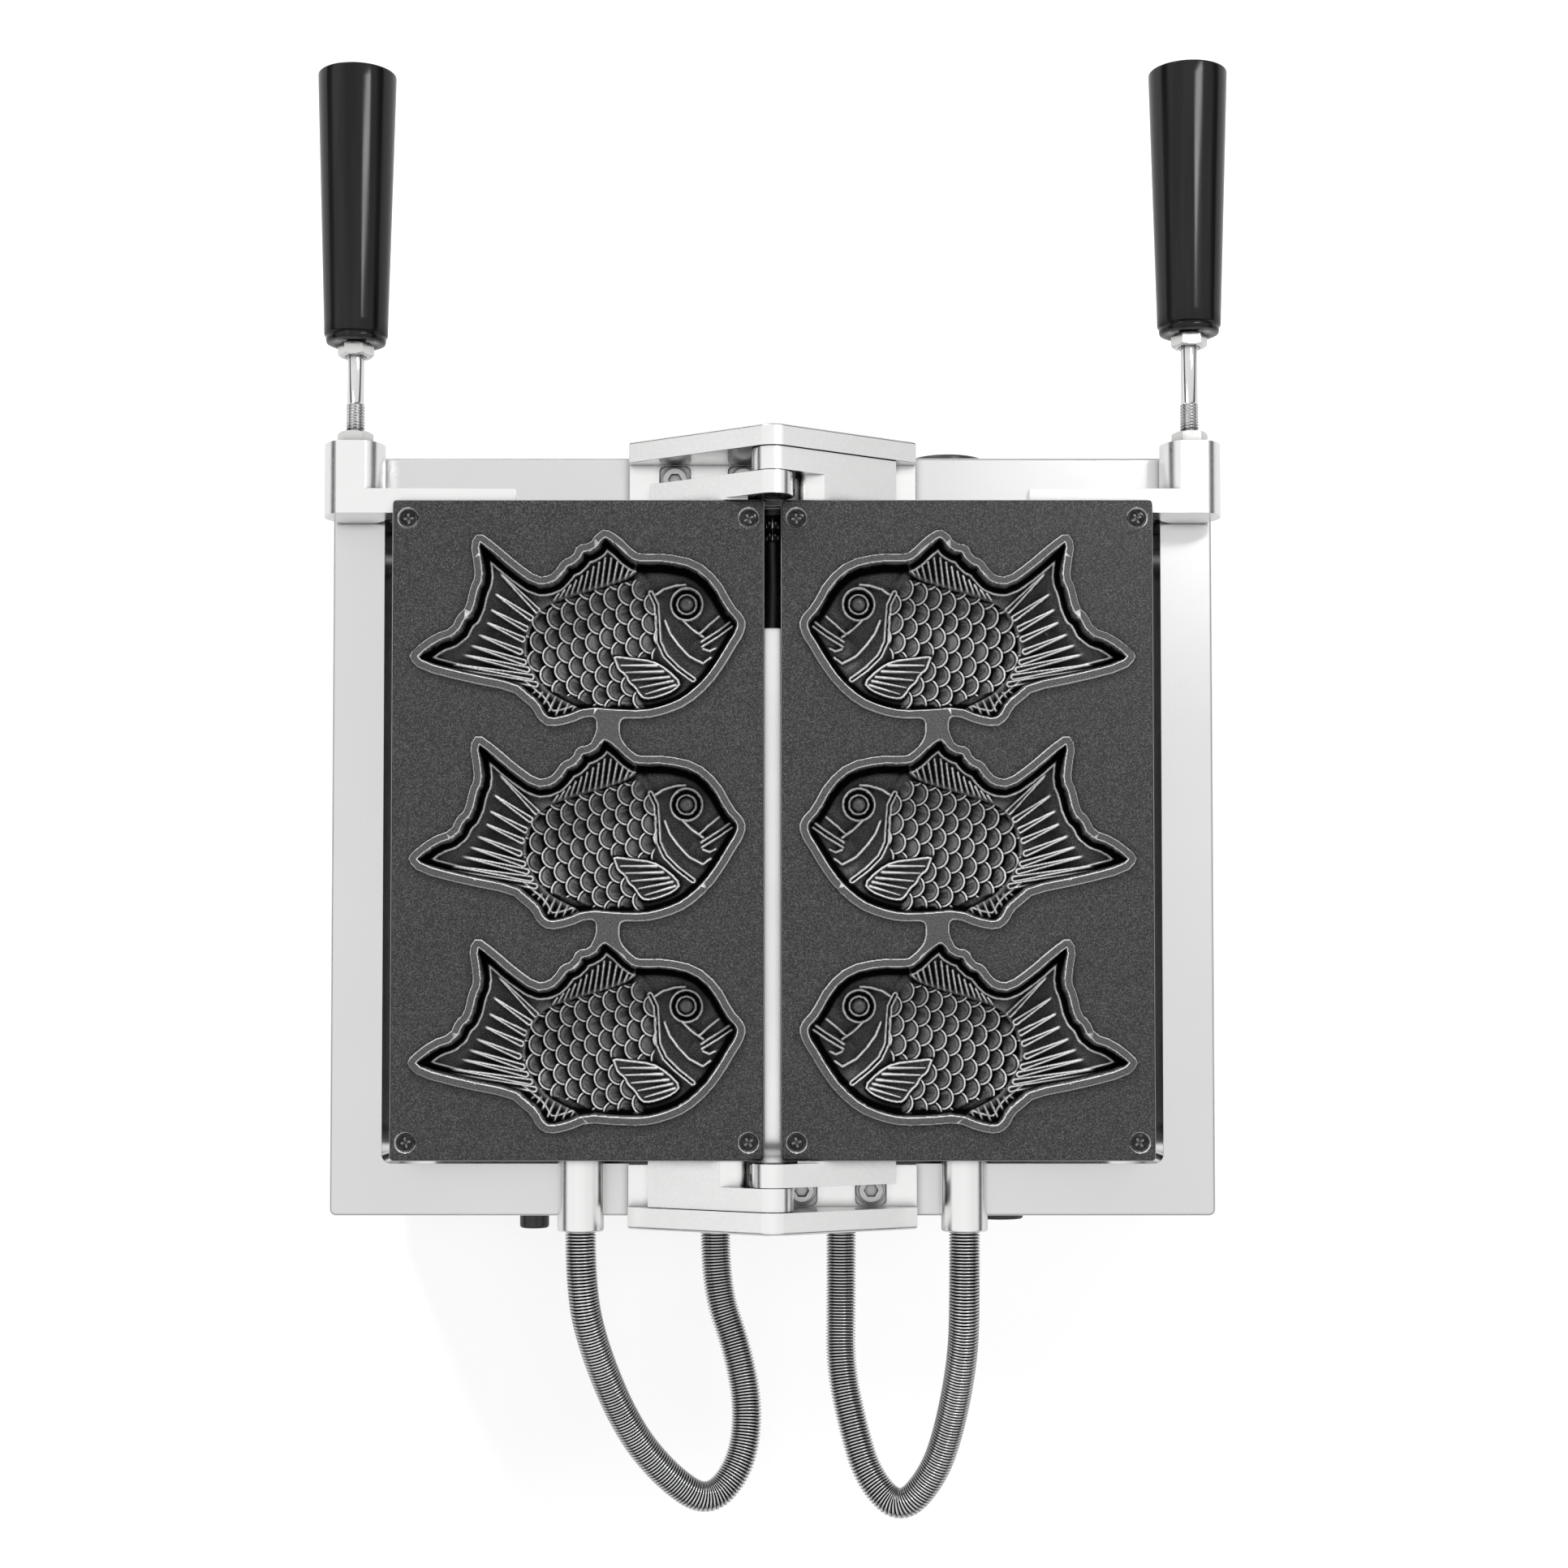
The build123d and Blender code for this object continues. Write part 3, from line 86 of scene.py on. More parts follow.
def math_node(tree, operation, *values):
    """Output of a math node on these values, each a number or another node's output."""
    node = tree.nodes.new("ShaderNodeMath")
    node.operation = operation
    for socket, value in zip(node.inputs, values):
        if isinstance(value, float):
            socket.default_value = value
        else:
            tree.links.new(value, socket)
    return node.outputs["Value"]


class Shader:
    """A material with its principled shader and short ways to add textures to it."""

    def __init__(self, name, **values):
        self.material = bpy.data.materials.new(name)
        self.material.use_nodes = True
        self.tree = self.material.node_tree
        self.nodes = self.tree.nodes
        self.links = self.tree.links
        self.bsdf = self.nodes["Principled BSDF"]
        self.coords = self.nodes.new("ShaderNodeTexCoord")
        self.bump_from = None
        for socket, value in values.items():
            self.bsdf.inputs[socket.replace("_", " ")].default_value = value

    def noise(self, scale, stretch=(1, 1, 1), detail=3.0):
        mapping = self.nodes.new("ShaderNodeMapping")
        mapping.inputs["Scale"].default_value = stretch
        self.links.new(self.coords.outputs["Object"], mapping.inputs["Vector"])
        texture = self.nodes.new("ShaderNodeTexNoise")
        texture.inputs["Scale"].default_value = scale
        texture.inputs["Detail"].default_value = detail
        self.links.new(mapping.outputs["Vector"], texture.inputs["Vector"])
        return texture.outputs["Fac"]

    def cells(self, scale):
        texture = self.nodes.new("ShaderNodeTexVoronoi")
        texture.inputs["Scale"].default_value = scale
        self.links.new(self.coords.outputs["Object"], texture.inputs["Vector"])
        return texture

    def span(self, source, low, high, start=0.3, end=0.7):
        spread = self.nodes.new("ShaderNodeMapRange")
        spread.inputs["From Min"].default_value = start
        spread.inputs["From Max"].default_value = end
        spread.inputs["To Min"].default_value = low
        spread.inputs["To Max"].default_value = high
        self.links.new(source, spread.inputs["Value"])
        return spread.outputs["Result"]

    def blend(self, factor, first, second):
        mix = self.nodes.new("ShaderNodeMix")
        mix.data_type = "RGBA"
        self.links.new(factor, mix.inputs["Factor"])
        for index, colour in ((6, first), (7, second)):
            if isinstance(colour, tuple):
                mix.inputs[index].default_value = (*colour, 1)
            else:
                self.links.new(colour, mix.inputs[index])
        return mix.outputs[2]

    def attribute(self, name):
        node = self.nodes.new("ShaderNodeAttribute")
        node.attribute_name = name
        return node.outputs["Fac"]

    def openness(self, distance, samples):
        """1 in the open and less where other surfaces are within the distance."""
        corners = self.nodes.new("ShaderNodeAmbientOcclusion")
        corners.samples = samples
        corners.inputs["Distance"].default_value = distance
        return corners.outputs["AO"]

    def painted_corner_shade(self, colour, distance, dark):
        """The colour, darkened where surfaces meet: painted shade in the corners."""
        return self.blend(self.span(self.openness(distance, 5), 0.0, 1.0, 0.3, 0.85), grey(dark), colour)

    def drive(self, socket, source):
        self.links.new(source, self.bsdf.inputs[socket])

    def bump(self, source, strength, distance):
        node = self.nodes.new("ShaderNodeBump")
        node.inputs["Strength"].default_value = strength
        node.inputs["Distance"].default_value = distance
        self.links.new(source, node.inputs["Height"])
        if self.bump_from:
            self.links.new(self.bump_from, node.inputs["Normal"])
        self.bump_from = node.outputs["Normal"]
        self.links.new(self.bump_from, self.bsdf.inputs["Normal"])


def metal(name, colour, rough, grain, clouds, corner_shade, bump):
    """Metal with this grain, as (scale, stretch, detail), in clouds of two tones and with painted shade in
    its corners.
    """
    shade = Shader(name, Metallic=1.0)
    grit = shade.noise(*grain)
    tone = shade.blend(shade.span(shade.noise(clouds), 0.0, 1.0), tuple(c * 0.96 for c in colour), colour)
    # Painted shade: the base colour darkens where other surfaces are close.
    shade.drive("Base Color", shade.painted_corner_shade(tone, corner_shade[0], corner_shade[1] * colour[0]))
    shade.drive("Roughness", shade.span(grit, rough[0], rough[1]))
    shade.bump(grit, *bump)
    return shade.material


def brushed(name, colour, rough, stretch, grain=420.0, lift=0.00002):
    """Sheet or bar metal with a fine grain along one direction."""
    return metal(name, colour, rough, (grain, stretch, 4.0), 9.0, (0.004, 0.12), (0.05, lift))


def blasted(name, colour, rough, grain=900.0, lift=0.00004):
    """Cast or blasted metal with an even fine grain."""
    return metal(name, colour, rough, (grain, (1, 1, 1), 5.0), 25.0, (0.005, 0.1), (0.1, lift))


def moulded(name, colour, rough, grain=700.0, lift=0.00001, coat=0.0):
    """Moulded plastic or rubber with a faint grain and uneven gloss."""
    shade = Shader(name, Metallic=0.0, Coat_Weight=coat, Coat_Roughness=0.06)
    grit = shade.noise(grain, (1, 1, 1), 3.0)
    clouds = shade.noise(30.0, (1, 1, 1), 4.0)
    light = tuple(min(c * 1.25 + 0.004, 1.0) for c in colour)
    shade.drive("Base Color", shade.blend(shade.span(clouds, 0.0, 1.0), colour, light))
    shade.drive("Roughness", shade.span(clouds, rough[0], rough[1]))
    shade.bump(grit, 0.25, lift)
    return shade.material


def nonstick(name):
    """Black non-stick coating with fine bright flakes, painted shade in its corners and hollows, and paler
    edges and crests from wear and painted highlight.
    """
    shade = Shader(name, Metallic=0.0, Specular_IOR_Level=0.5)
    grit = shade.noise(2300.0, (1, 1, 1), 1.0)
    clouds = shade.noise(14.0, (1, 1, 1), 4.0)
    flakes = shade.cells(1500.0)
    base = shade.blend(shade.span(clouds, 0.0, 1.0), (0.004, 0.004, 0.0042), (0.007, 0.007, 0.0072))
    glint = shade.span(grit, 0.0, 1.0, 0.46, 0.68)
    speckled = shade.blend(glint, base, (0.085, 0.085, 0.087))
    # Painted shade where other surfaces are close and where the painted shade map says, with less specular
    # there; wear and painted highlight where the wear and highlight map says.
    airy = shade.span(shade.openness(0.0045, 6), 0.0, 1.0, 0.4, 0.95)
    unshaded = shade.span(shade.attribute("painted_shade"), 1.0, 0.0, 0.0, 1.0)
    open_share = math_node(shade.tree, "MULTIPLY", airy, unshaded)
    base_with_painted_shade = shade.blend(open_share, grey(0.0005), speckled)
    shade.drive("Specular IOR Level", shade.span(open_share, 0.02, 0.5, 0.0, 1.0))
    shade.drive("Base Color", shade.blend(shade.attribute("wear_and_highlight"), base_with_painted_shade, grey(0.8)))
    shade.drive("Roughness", shade.span(flakes.outputs["Distance"], 0.22, 0.36, 0.0, 0.6))
    shade.bump(grit, 0.4, 0.00005)
    return shade.material


def black_with_wear_and_gleam(name):
    """Black finish, paler in the recess and along the edge of a screw's head: metal worn bare and painted
    highlight.
    """
    shade = Shader(name, Metallic=1.0)
    clouds = shade.noise(500.0, (1, 1, 1), 3.0)
    tone = shade.blend(shade.span(clouds, 0.0, 1.0), grey(0.02), grey(0.05))
    # Painted highlight: paler where other surfaces are close, in the recess and at the edge of the head,
    # standing also for metal worn bare there.
    wear_and_gleam = shade.span(shade.openness(0.0009, 6), 1.0, 0.0, 0.4, 0.8)
    shade.drive("Base Color", shade.blend(wear_and_gleam, tone, grey(0.55)))
    shade.drive("Roughness", shade.span(clouds, 0.14, 0.22))
    return shade.material


def ribbed(name):
    """Bright steel ribs with painted shade in the grooves between them."""
    shade = Shader(name, Metallic=1.0)
    clouds = shade.noise(60.0, (1, 1, 1), 3.0)
    rib = shade.blend(shade.span(clouds, 0.0, 1.0), grey(0.62), grey(0.74))
    # Painted shade: near black where the groove shade attribute says.
    shade.drive("Base Color", shade.blend(shade.attribute("groove_shade"), rib, grey(0.012)))
    shade.drive("Roughness", shade.span(clouds, 0.16, 0.24))
    return shade.material


def bakelite(name):
    """Polished black moulding with faint marks along its length."""
    shade = Shader(name, Metallic=0.0, Specular_IOR_Level=0.27)
    marks = shade.noise(260.0, (1, 0.03, 1), 4.0)
    clouds = shade.noise(30.0, (1, 0.3, 1), 4.0)
    tone = shade.blend(shade.span(marks, 0.0, 1.0), grey(0.002), grey(0.012))
    shade.drive("Base Color", tone)
    shade.drive("Roughness", shade.span(clouds, 0.1, 0.2))
    shade.bump(marks, 0.12, 0.00002)
    return shade.material


# Stretches of the grain: along X, and in level lines on upright and lying sheets
ALONG_X = (0.04, 1, 1)
LEVEL = (0.03, 0.03, 1)
MATERIALS = {
    "brushed_steel": brushed("brushed_steel", grey(0.74), (0.24, 0.32), LEVEL),
    "zinc_steel": brushed("zinc_steel", (0.5, 0.51, 0.52), (0.3, 0.45), ALONG_X, 200.0),
    "foot_rubber": moulded("foot_rubber", grey(0.03), (0.6, 0.75), lift=0.00004),
    "fastener_steel": blasted("fastener_steel", (0.72, 0.72, 0.71), (0.14, 0.26), 500.0, 0.00001),
    "black_steel": moulded("black_steel", grey(0.012), (0.14, 0.24)),
    "cast_aluminium": blasted("cast_aluminium", (0.92, 0.92, 0.915), (0.2, 0.27)),
    "turned_aluminium": brushed(
        "turned_aluminium", (0.91, 0.91, 0.905), (0.2, 0.24), ALONG_X, 500.0, 0.000004
    ),
    "conduit_steel": ribbed("conduit_steel"),
    "control_plastic": moulded("control_plastic", grey(0.02), (0.25, 0.4)),
    "knob_plastic": moulded("knob_plastic", grey(0.025), (0.2, 0.34), coat=0.2),
    "rocker_plastic": moulded("rocker_plastic", (0.5, 0.03, 0.02), (0.15, 0.25), coat=0.3),
    "lamp_plastic": moulded("lamp_plastic", (0.65, 0.16, 0.03), (0.1, 0.2), coat=0.5),
    "bush_rubber": moulded("bush_rubber", grey(0.02), (0.4, 0.55)),
    "terminal_ceramic": moulded("terminal_ceramic", (0.82, 0.8, 0.75), (0.3, 0.45)),
    "nonstick_aluminium": nonstick("nonstick_aluminium"),
    "element_steel": blasted("element_steel", (0.32, 0.3, 0.28), (0.4, 0.55)),
    "ceramic_fibre": moulded("ceramic_fibre", (0.85, 0.84, 0.8), (0.8, 0.95), 300.0, 0.0003),
    "chromed_rod": blasted("chromed_rod", grey(0.78), (0.08, 0.16), 400.0, 0.000005),
    "handle_bakelite": bakelite("handle_bakelite"),
}
SCREW_STEEL = blasted("screw_steel", grey(0.5), (0.16, 0.26), 500.0, 0.00001)
PLATE_SCREW_BLACK = black_with_wear_and_gleam("plate_screw_black")
WELL_STEEL = brushed("well_steel", grey(0.92), (0.08, 0.13), LEVEL, 300.0, 0.000005)
for node, piece in frame["nodes"].items():
    piece.data.materials.clear()
    piece.data.materials.append(WELL_STEEL if node == "well_tray" else MATERIALS[SLOT_OF[node]])


# Mesh helpers. Points are in millimetres.
def to_mesh(name, points, faces):
    mesh = bpy.data.meshes.new(name)
    mesh.from_pydata([tuple(c * MM for c in point) for point in points], [], faces)
    bm = bmesh.new()
    bm.from_mesh(mesh)
    bmesh.ops.remove_doubles(bm, verts=bm.verts, dist=1e-6)
    bmesh.ops.recalc_face_normals(bm, faces=bm.faces)
    bm.to_mesh(mesh)
    bm.free()
    return mesh


def smooth(mesh, angle=40.0):
    mesh.polygons.foreach_set("use_smooth", [True] * len(mesh.polygons))
    mesh.set_sharp_from_angle(angle=math.radians(angle))


def add_piece(name, mesh, slot, body, *nodes, ride=True):
    piece = bpy.data.objects.new(name, mesh)
    bpy.context.scene.collection.objects.link(piece)
    mesh.materials.append(MATERIALS[slot])
    if ride:
        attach(piece, body)
    if nodes:
        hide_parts(*nodes)
    return piece


def baked(piece):
    """The piece's mesh with its modifiers applied."""
    graph = bpy.context.evaluated_depsgraph_get()
    return bpy.data.meshes.new_from_object(piece.evaluated_get(graph))


def bevelled(piece, width, segments, angle):
    """The piece's new mesh, with the edges rounded that are sharper than the angle."""
    bevel = piece.modifiers.new("edges", "BEVEL")
    bevel.width = width * MM
    bevel.segments = segments
    bevel.limit_method = "ANGLE"
    bevel.angle_limit = math.radians(angle)
    finished = baked(piece)
    piece.modifiers.clear()
    piece.data = finished
    return finished


def softened(node, width, segments=2, material=None):
    """A copy of a CAD node with its edges rounded, which stands for it."""
    bm = bmesh.new()
    bm.from_mesh(frame["nodes"][node].data)
    bmesh.ops.remove_doubles(bm, verts=bm.verts, dist=2e-6)
    bmesh.ops.dissolve_limit(bm, angle_limit=math.radians(0.6), verts=bm.verts, edges=bm.edges)
    mesh = bpy.data.meshes.new(node + "_rounded")
    bm.to_mesh(mesh)
    bm.free()
    piece = add_piece(node + "_rounded", mesh, SLOT_OF[node], BODY_OF[node], node)
    smooth(bevelled(piece, width, segments, 33.0), 50.0)
    even = piece.modifiers.new("even", "WEIGHTED_NORMAL")
    even.keep_sharp = True
    even.weight = 100
    piece.data = baked(piece)
    piece.modifiers.clear()
    if material:
        piece.data.materials[0] = material


def tube_faces(rings, count):
    """Quads between rings of points, each ring closed on itself."""
    faces = []
    for ring in range(rings - 1):
        for k in range(count):
            a = ring * count + k
            b = ring * count + (k + 1) % count
            faces.append((a, b, b + count, a + count))
    return faces


def around(centre, y, radius, angle):
    """Point at this radius and angle about a line along Y through the centre."""
    return centre[0] + radius * math.cos(angle), centre[1] + y, centre[2] + radius * math.sin(angle)


def lathe(name, profile, centre, segments=72):
    """Surface turned about a line along Y. The profile holds (y, radius) pairs, y from the centre."""
    points = []
    for y, radius in profile:
        for k in range(segments):
            angle = 2 * math.pi * k / segments
            points.append(around(centre, y, radius, angle))
    mesh = to_mesh(name, points, tube_faces(len(profile), segments))
    smooth(mesh)
    return mesh


NUT_FLATS = 13.0
NUT_BORE = 4.02
NUT_HEIGHT = 5.4


def nut(name, centre, flats=NUT_FLATS, bore=NUT_BORE, height=NUT_HEIGHT, segments=96):
    """Hexagon nut along Y with turned chamfers on both faces."""
    turned = flats / 2 * 0.94
    rings = 8
    points = []
    for ring in range(rings):
        for k in range(segments):
            angle = 2 * math.pi * k / segments
            outer = flats / 2 / math.cos(angle % (math.pi / 3) - math.pi / 6)
            drop = (outer - turned) * math.tan(math.radians(28))
            radius, y = (
                (bore, 0.5), (bore + 0.5, 0.0), (turned, 0.0), (outer, drop),
                (outer, height - drop), (turned, height), (bore + 0.5, height), (bore, height - 0.5),
            )[ring]
            points.append(around(centre, y, radius, angle))
    faces = tube_faces(rings, segments)
    for k in range(segments):
        after = (k + 1) % segments
        faces.append(((rings - 1) * segments + k, (rings - 1) * segments + after, after, k))
    mesh = to_mesh(name, points, faces)
    smooth(mesh, 25.0)
    return mesh


def thread_rows(start, end, radius, pitch, depth, segments):
    """Rings of a screw thread along Y, each point as (y, radius, angle)."""
    steps = max(2, round((end - start) / pitch * 8))
    for step in range(steps + 1):
        y = start + (end - start) * step / steps
        row = []
        for k in range(segments):
            angle = 2 * math.pi * k / segments
            phase = (y / pitch - angle / (2 * math.pi)) % 1.0
            crest = abs(2 * phase - 1)
            row.append((y, radius - depth * min(1.0, crest * 1.3), angle))
        yield row


def join_meshes(name, meshes):
    bm = bmesh.new()
    for mesh in meshes:
        bm.from_mesh(mesh)
    joined = bpy.data.meshes.new(name)
    bm.to_mesh(joined)
    bm.free()
    return joined


# Fish relief. Coordinates are millimetres from the middle of the fish, the first towards the hinge
# line and the second towards the rear. Heights are measured from the raised land, down is negative.
RIM_WIDTH = 3.0
RIM = (
    (-40.3, -39.3), (-33.5, -34.4), (-24.5, -26.6), (-16.4, -20.8), (-11.4, -21.4), (-8.3, -24.5),
    (-6.4, -27.7), (-2.0, -29.5), (-0.1, -33.9), (4.9, -34.6), (7.4, -38.3), (11.1, -40.6), (16.8, -37.1),
    (23.1, -30.8), (26.2, -30.2), (35.6, -30.4), (48.1, -27.7), (56.9, -20.1), (62.6, -9.5), (66.3, -5.7),
    (67.9, -1.9), (66.3, 3.1), (63.8, 6.8), (59.4, 14.4), (53.2, 23.1), (44.4, 30.7), (35.6, 34.4),
    (26.8, 36.3), (15.0, 36.0), (4.3, 35.0), (-3.3, 38.2), (-11.4, 39.7), (-15.8, 36.9), (-18.3, 31.9),
    (-22.1, 28.8), (-26.5, 25.0), (-45.9, 21.2), (-63.5, 16.6), (-68.2, 11.8), (-66.6, 8.7), (-58.4, 2.4),
    (-50.9, -0.1), (-48.4, -5.7), (-45.3, -8.2), (-43.4, -17.0), (-41.5, -20.8), (-42.1, -27.0),
    (-43.4, -34.6),
)
BODY = (
    (-22.0, 8.7), (-20.7, 0.6), (-16.7, -7.6), (-12.6, -11.1), (-2.5, -14.6), (8.7, -17.9), (18.8, -21.0),
    (23.9, -24.6), (25.9, -45.9), (84.5, -45.9), (84.5, 55.2), (2.6, 55.2), (1.8, 32.8), (-5.0, 29.4),
    (-12.1, 25.4), (-16.7, 20.0), (-19.9, 14.7),
)
SCALED = (
    (-22.0, 4.6), (-20.7, -1.5), (-16.7, -7.6), (-12.6, -10.6), (-2.5, -14.4), (8.7, -17.5),
    (18.8, -20.2), (24.4, -21.7), (28.9, -15.7), (31.5, -7.6), (32.0, 0.6), (30.4, 8.7), (29.9, 10.9),
    (13.2, 9.2), (14.2, 12.7), (18.3, 17.8), (22.3, 23.1), (24.4, 26.7), (27.1, 29.9), (25.9, 32.5),
    (22.3, 32.2), (17.8, 29.9), (13.7, 31.8), (8.7, 31.0), (3.6, 29.9), (-0.5, 27.7), (-6.5, 26.1),
    (-12.6, 24.4), (-16.7, 19.8), (-19.7, 14.7), (-22.3, 9.7),
)
TAIL_RAYS = (
    ((-32.4, -23.8), (-16.9, -8.1)), ((-34.4, -15.2), (-19.5, -5.0)), ((-36.4, -8.8), (-21.5, -0.7)),
    ((-38.0, -3.5), (-22.8, 3.6)), ((-41.5, 1.4), (-23.8, 8.7)), ((-44.6, 5.8), (-22.3, 13.0)),
    ((-47.6, 9.7), (-20.9, 16.0)), ((-51.6, 13.7), (-19.2, 19.0)), ((-55.7, 14.9), (-17.5, 22.0)),
)
DORSAL_BASE = ((-12.6, -11.4), (-2.5, -15.2), (8.7, -17.7), (18.8, -21.2), (23.0, -24.0))
DORSAL_EDGE = ((-12.6, -12.1), (-5.0, -17.7), (2.6, -24.8), (11.7, -33.4), (17.3, -29.6), (23.4, -24.0))
ANAL_BASE = ((-20.5, 24.9), (-12.6, 25.4), (-6.5, 28.7), (1.4, 31.8))
ANAL_EDGE = ((-20.5, 24.9), (-16.7, 30.8), (-10.4, 36.5), (-4.5, 35.0), (1.4, 31.8))
GILL_OUTER = (
    (28.9, -16.2), (31.2, -11.6), (31.8, -3.5), (32.2, 3.6), (35.0, 9.7), (40.1, 14.7), (46.4, 19.6),
)
GILL_INNER = ((34.8, -5.0), (37.0, 0.6), (40.3, 5.1), (44.6, 9.7), (50.4, 12.9), (53.5, 10.7))
HEAD_LINES = (
    ((31.0, -15.7), (34.0, -17.7), (39.1, -19.2), (43.1, -19.5)),
    ((56.8, -6.3), (52.7, -3.0), (48.7, 0.6)),
    ((63.2, -5.0), (57.3, -1.0), (49.7, 3.8)),
    ((62.2, -2.0), (56.3, 2.1), (50.0, 5.8)),
    ((50.4, 6.8), (53.2, 7.9), (55.5, 6.8)),
    ((42.1, -5.0), (45.6, -1.5), (50.4, 1.8)),
)
PECTORAL = (
    (13.2, 9.2), (21.3, 10.2), (29.9, 11.2), (36.0, 14.7), (42.1, 20.8), (39.1, 24.4), (32.5, 27.1),
    (26.9, 28.1), (24.4, 26.4), (22.3, 22.9), (19.6, 20.8), (18.3, 17.6), (15.5, 15.8), (14.2, 12.2),
)
PECTORAL_RIBS = (
    ((16.8, 13.5), (31.5, 13.5)), ((18.8, 16.4), (34.0, 16.0)), ((21.3, 19.6), (36.5, 18.3)),
    ((24.2, 22.7), (38.0, 20.0)), ((26.9, 25.4), (39.1, 21.8)),
)
EYE = (43.6, -11.6)
PLATE_FACES = 192000
BRIDGE_AT = 12.3
BRIDGE_HALF = 4.6
SCALE_START = (-3.63, -0.13)
SCALE_STEP = (5.77, -1.97)
SCALE_ROW = (2.0, 6.9)
SCALE_RADIUS = 5.0
SCALE_TAILWARD = (-0.946, 0.32)


def rounded_loop(points, rounds):
    """Closed outline with its corners cut the given number of rounds, so that it runs smoothly."""
    loop = np.array(points)
    for _ in range(rounds):
        after = np.roll(loop, -1, axis=0)
        loop = np.stack([0.75 * loop + 0.25 * after, 0.25 * loop + 0.75 * after], axis=1).reshape(-1, 2)
    return loop


def segment_distance(u, v, start, end):
    """Distance to a segment and the share along it at which the nearest point lies."""
    run = (end[0] - start[0], end[1] - start[1])
    size = run[0] ** 2 + run[1] ** 2
    share = np.clip(((u - start[0]) * run[0] + (v - start[1]) * run[1]) / size, 0, 1)
    return np.hypot(u - start[0] - share * run[0], v - start[1] - share * run[1]), share


def line_distance(u, v, points):
    return np.min([segment_distance(u, v, a, b)[0] for a, b in zip(points, points[1:])], axis=0)


def inside_distance(u, v, loop):
    """Signed distance to a closed outline, positive inside it."""
    distance = np.full(u.shape, 1e9)
    inside = np.zeros(u.shape, bool)
    for a, b in zip(loop, np.roll(loop, -1, axis=0)):
        distance = np.minimum(distance, segment_distance(u, v, a, b)[0])
        if a[1] != b[1]:
            crosses = (a[1] > v) != (b[1] > v)
            inside ^= crosses & (u < (b[0] - a[0]) * (v - a[1]) / (b[1] - a[1]) + a[0])
    return np.where(inside, distance, -distance)


def step(value, start, end):
    share = np.clip((value - start) / (end - start), 0, 1)
    return share * share * (3 - 2 * share)


def ridge(distance, width, height):
    return height * np.exp(-((distance / width) ** 2))


def along(points, share):
    points = np.array(points)
    lengths = np.concatenate([[0], np.cumsum(np.hypot(*np.diff(points, axis=0).T))])
    at = share * lengths[-1]
    return tuple(np.interp(at, lengths, points[:, axis]) for axis in (0, 1))


def fin_ribs(base, edge, count, lean):
    """Rib segments from the base of a fin to its edge."""
    for k in range(count):
        share = (k + 1) / (count + 1)
        low = along(base, share)
        high = along(edge, min(max(share + lean, 0.02), 0.98))
        yield low, tuple(a + 0.8 * (b - a) for a, b in zip(low, high))


def scales(u, v):
    """Height of overlapping scales, each with its rounded edge towards the tail, and their paler edges: wear
    and painted highlight.
    """
    places = []
    for row in range(-7, 8):
        for place in range(-9, 10):
            offset = place + 0.5 * (row % 2)
            x = SCALE_START[0] + offset * SCALE_STEP[0] + row * SCALE_ROW[0]
            y = SCALE_START[1] + offset * SCALE_STEP[1] + row * SCALE_ROW[1]
            if -34 < x < 44 and -34 < y < 46:
                places.append((-(x * SCALE_TAILWARD[0] + y * SCALE_TAILWARD[1]), x, y))
    height = np.full(u.shape, -0.6)
    wear_and_highlight = np.zeros(u.shape)
    for _, x, y in sorted(places):
        close = np.nonzero((np.abs(u - x) < SCALE_RADIUS + 1) & (np.abs(v - y) < SCALE_RADIUS + 1))
        near = np.hypot(u[close] - x, v[close] - y)
        over = step(SCALE_RADIUS - near, -0.12, 0.12)
        toward = (u[close] - x) * SCALE_TAILWARD[0] + (v[close] - y) * SCALE_TAILWARD[1]
        shape = 1.1 * toward / SCALE_RADIUS + ridge(near - SCALE_RADIUS + 0.5, 0.35, 0.5)
        shape -= ridge(near - SCALE_RADIUS + 1.15, 0.3, 0.3)
        # Pale lines along each scale's edge: wear and painted highlight.
        wear_and_gleam = ridge(near - SCALE_RADIUS + 0.42, 0.24, 0.9) + ridge(near - SCALE_RADIUS + 1.6, 0.22, 0.18)
        height[close] = height[close] * (1 - over) + shape * over
        wear_and_highlight[close] = wear_and_highlight[close] * (1 - over) * (1 - ridge(near - SCALE_RADIUS, 0.5, 1.0)) + wear_and_gleam * over
    return height, wear_and_highlight


def fish_fields(u, v):
    """Signed distances to the cavity and to the raised land of a whole plate, and places in a fish."""
    row = np.clip(np.round((v - FISH_SHIFT) / FISH_PITCH), -1, 1)
    local = v - FISH_SHIFT - row * FISH_PITCH
    outer = inside_distance(u, local, rounded_loop(RIM, 1))
    bridge = np.minimum(BRIDGE_HALF - np.abs(u - BRIDGE_AT), np.abs(local) - 25.0)
    joined = np.where(bridge > -6, smooth_union(outer, bridge, 3.0), outer)
    land = np.where(row * local > 0, np.where(row == 0, joined, outer), joined)
    return outer - RIM_WIDTH, land, local


def smooth_union(first, second, size):
    mix = np.clip(0.5 + 0.5 * (first - second) / size, 0, 1)
    return first * mix + second * (1 - mix) + size * mix * (1 - mix)


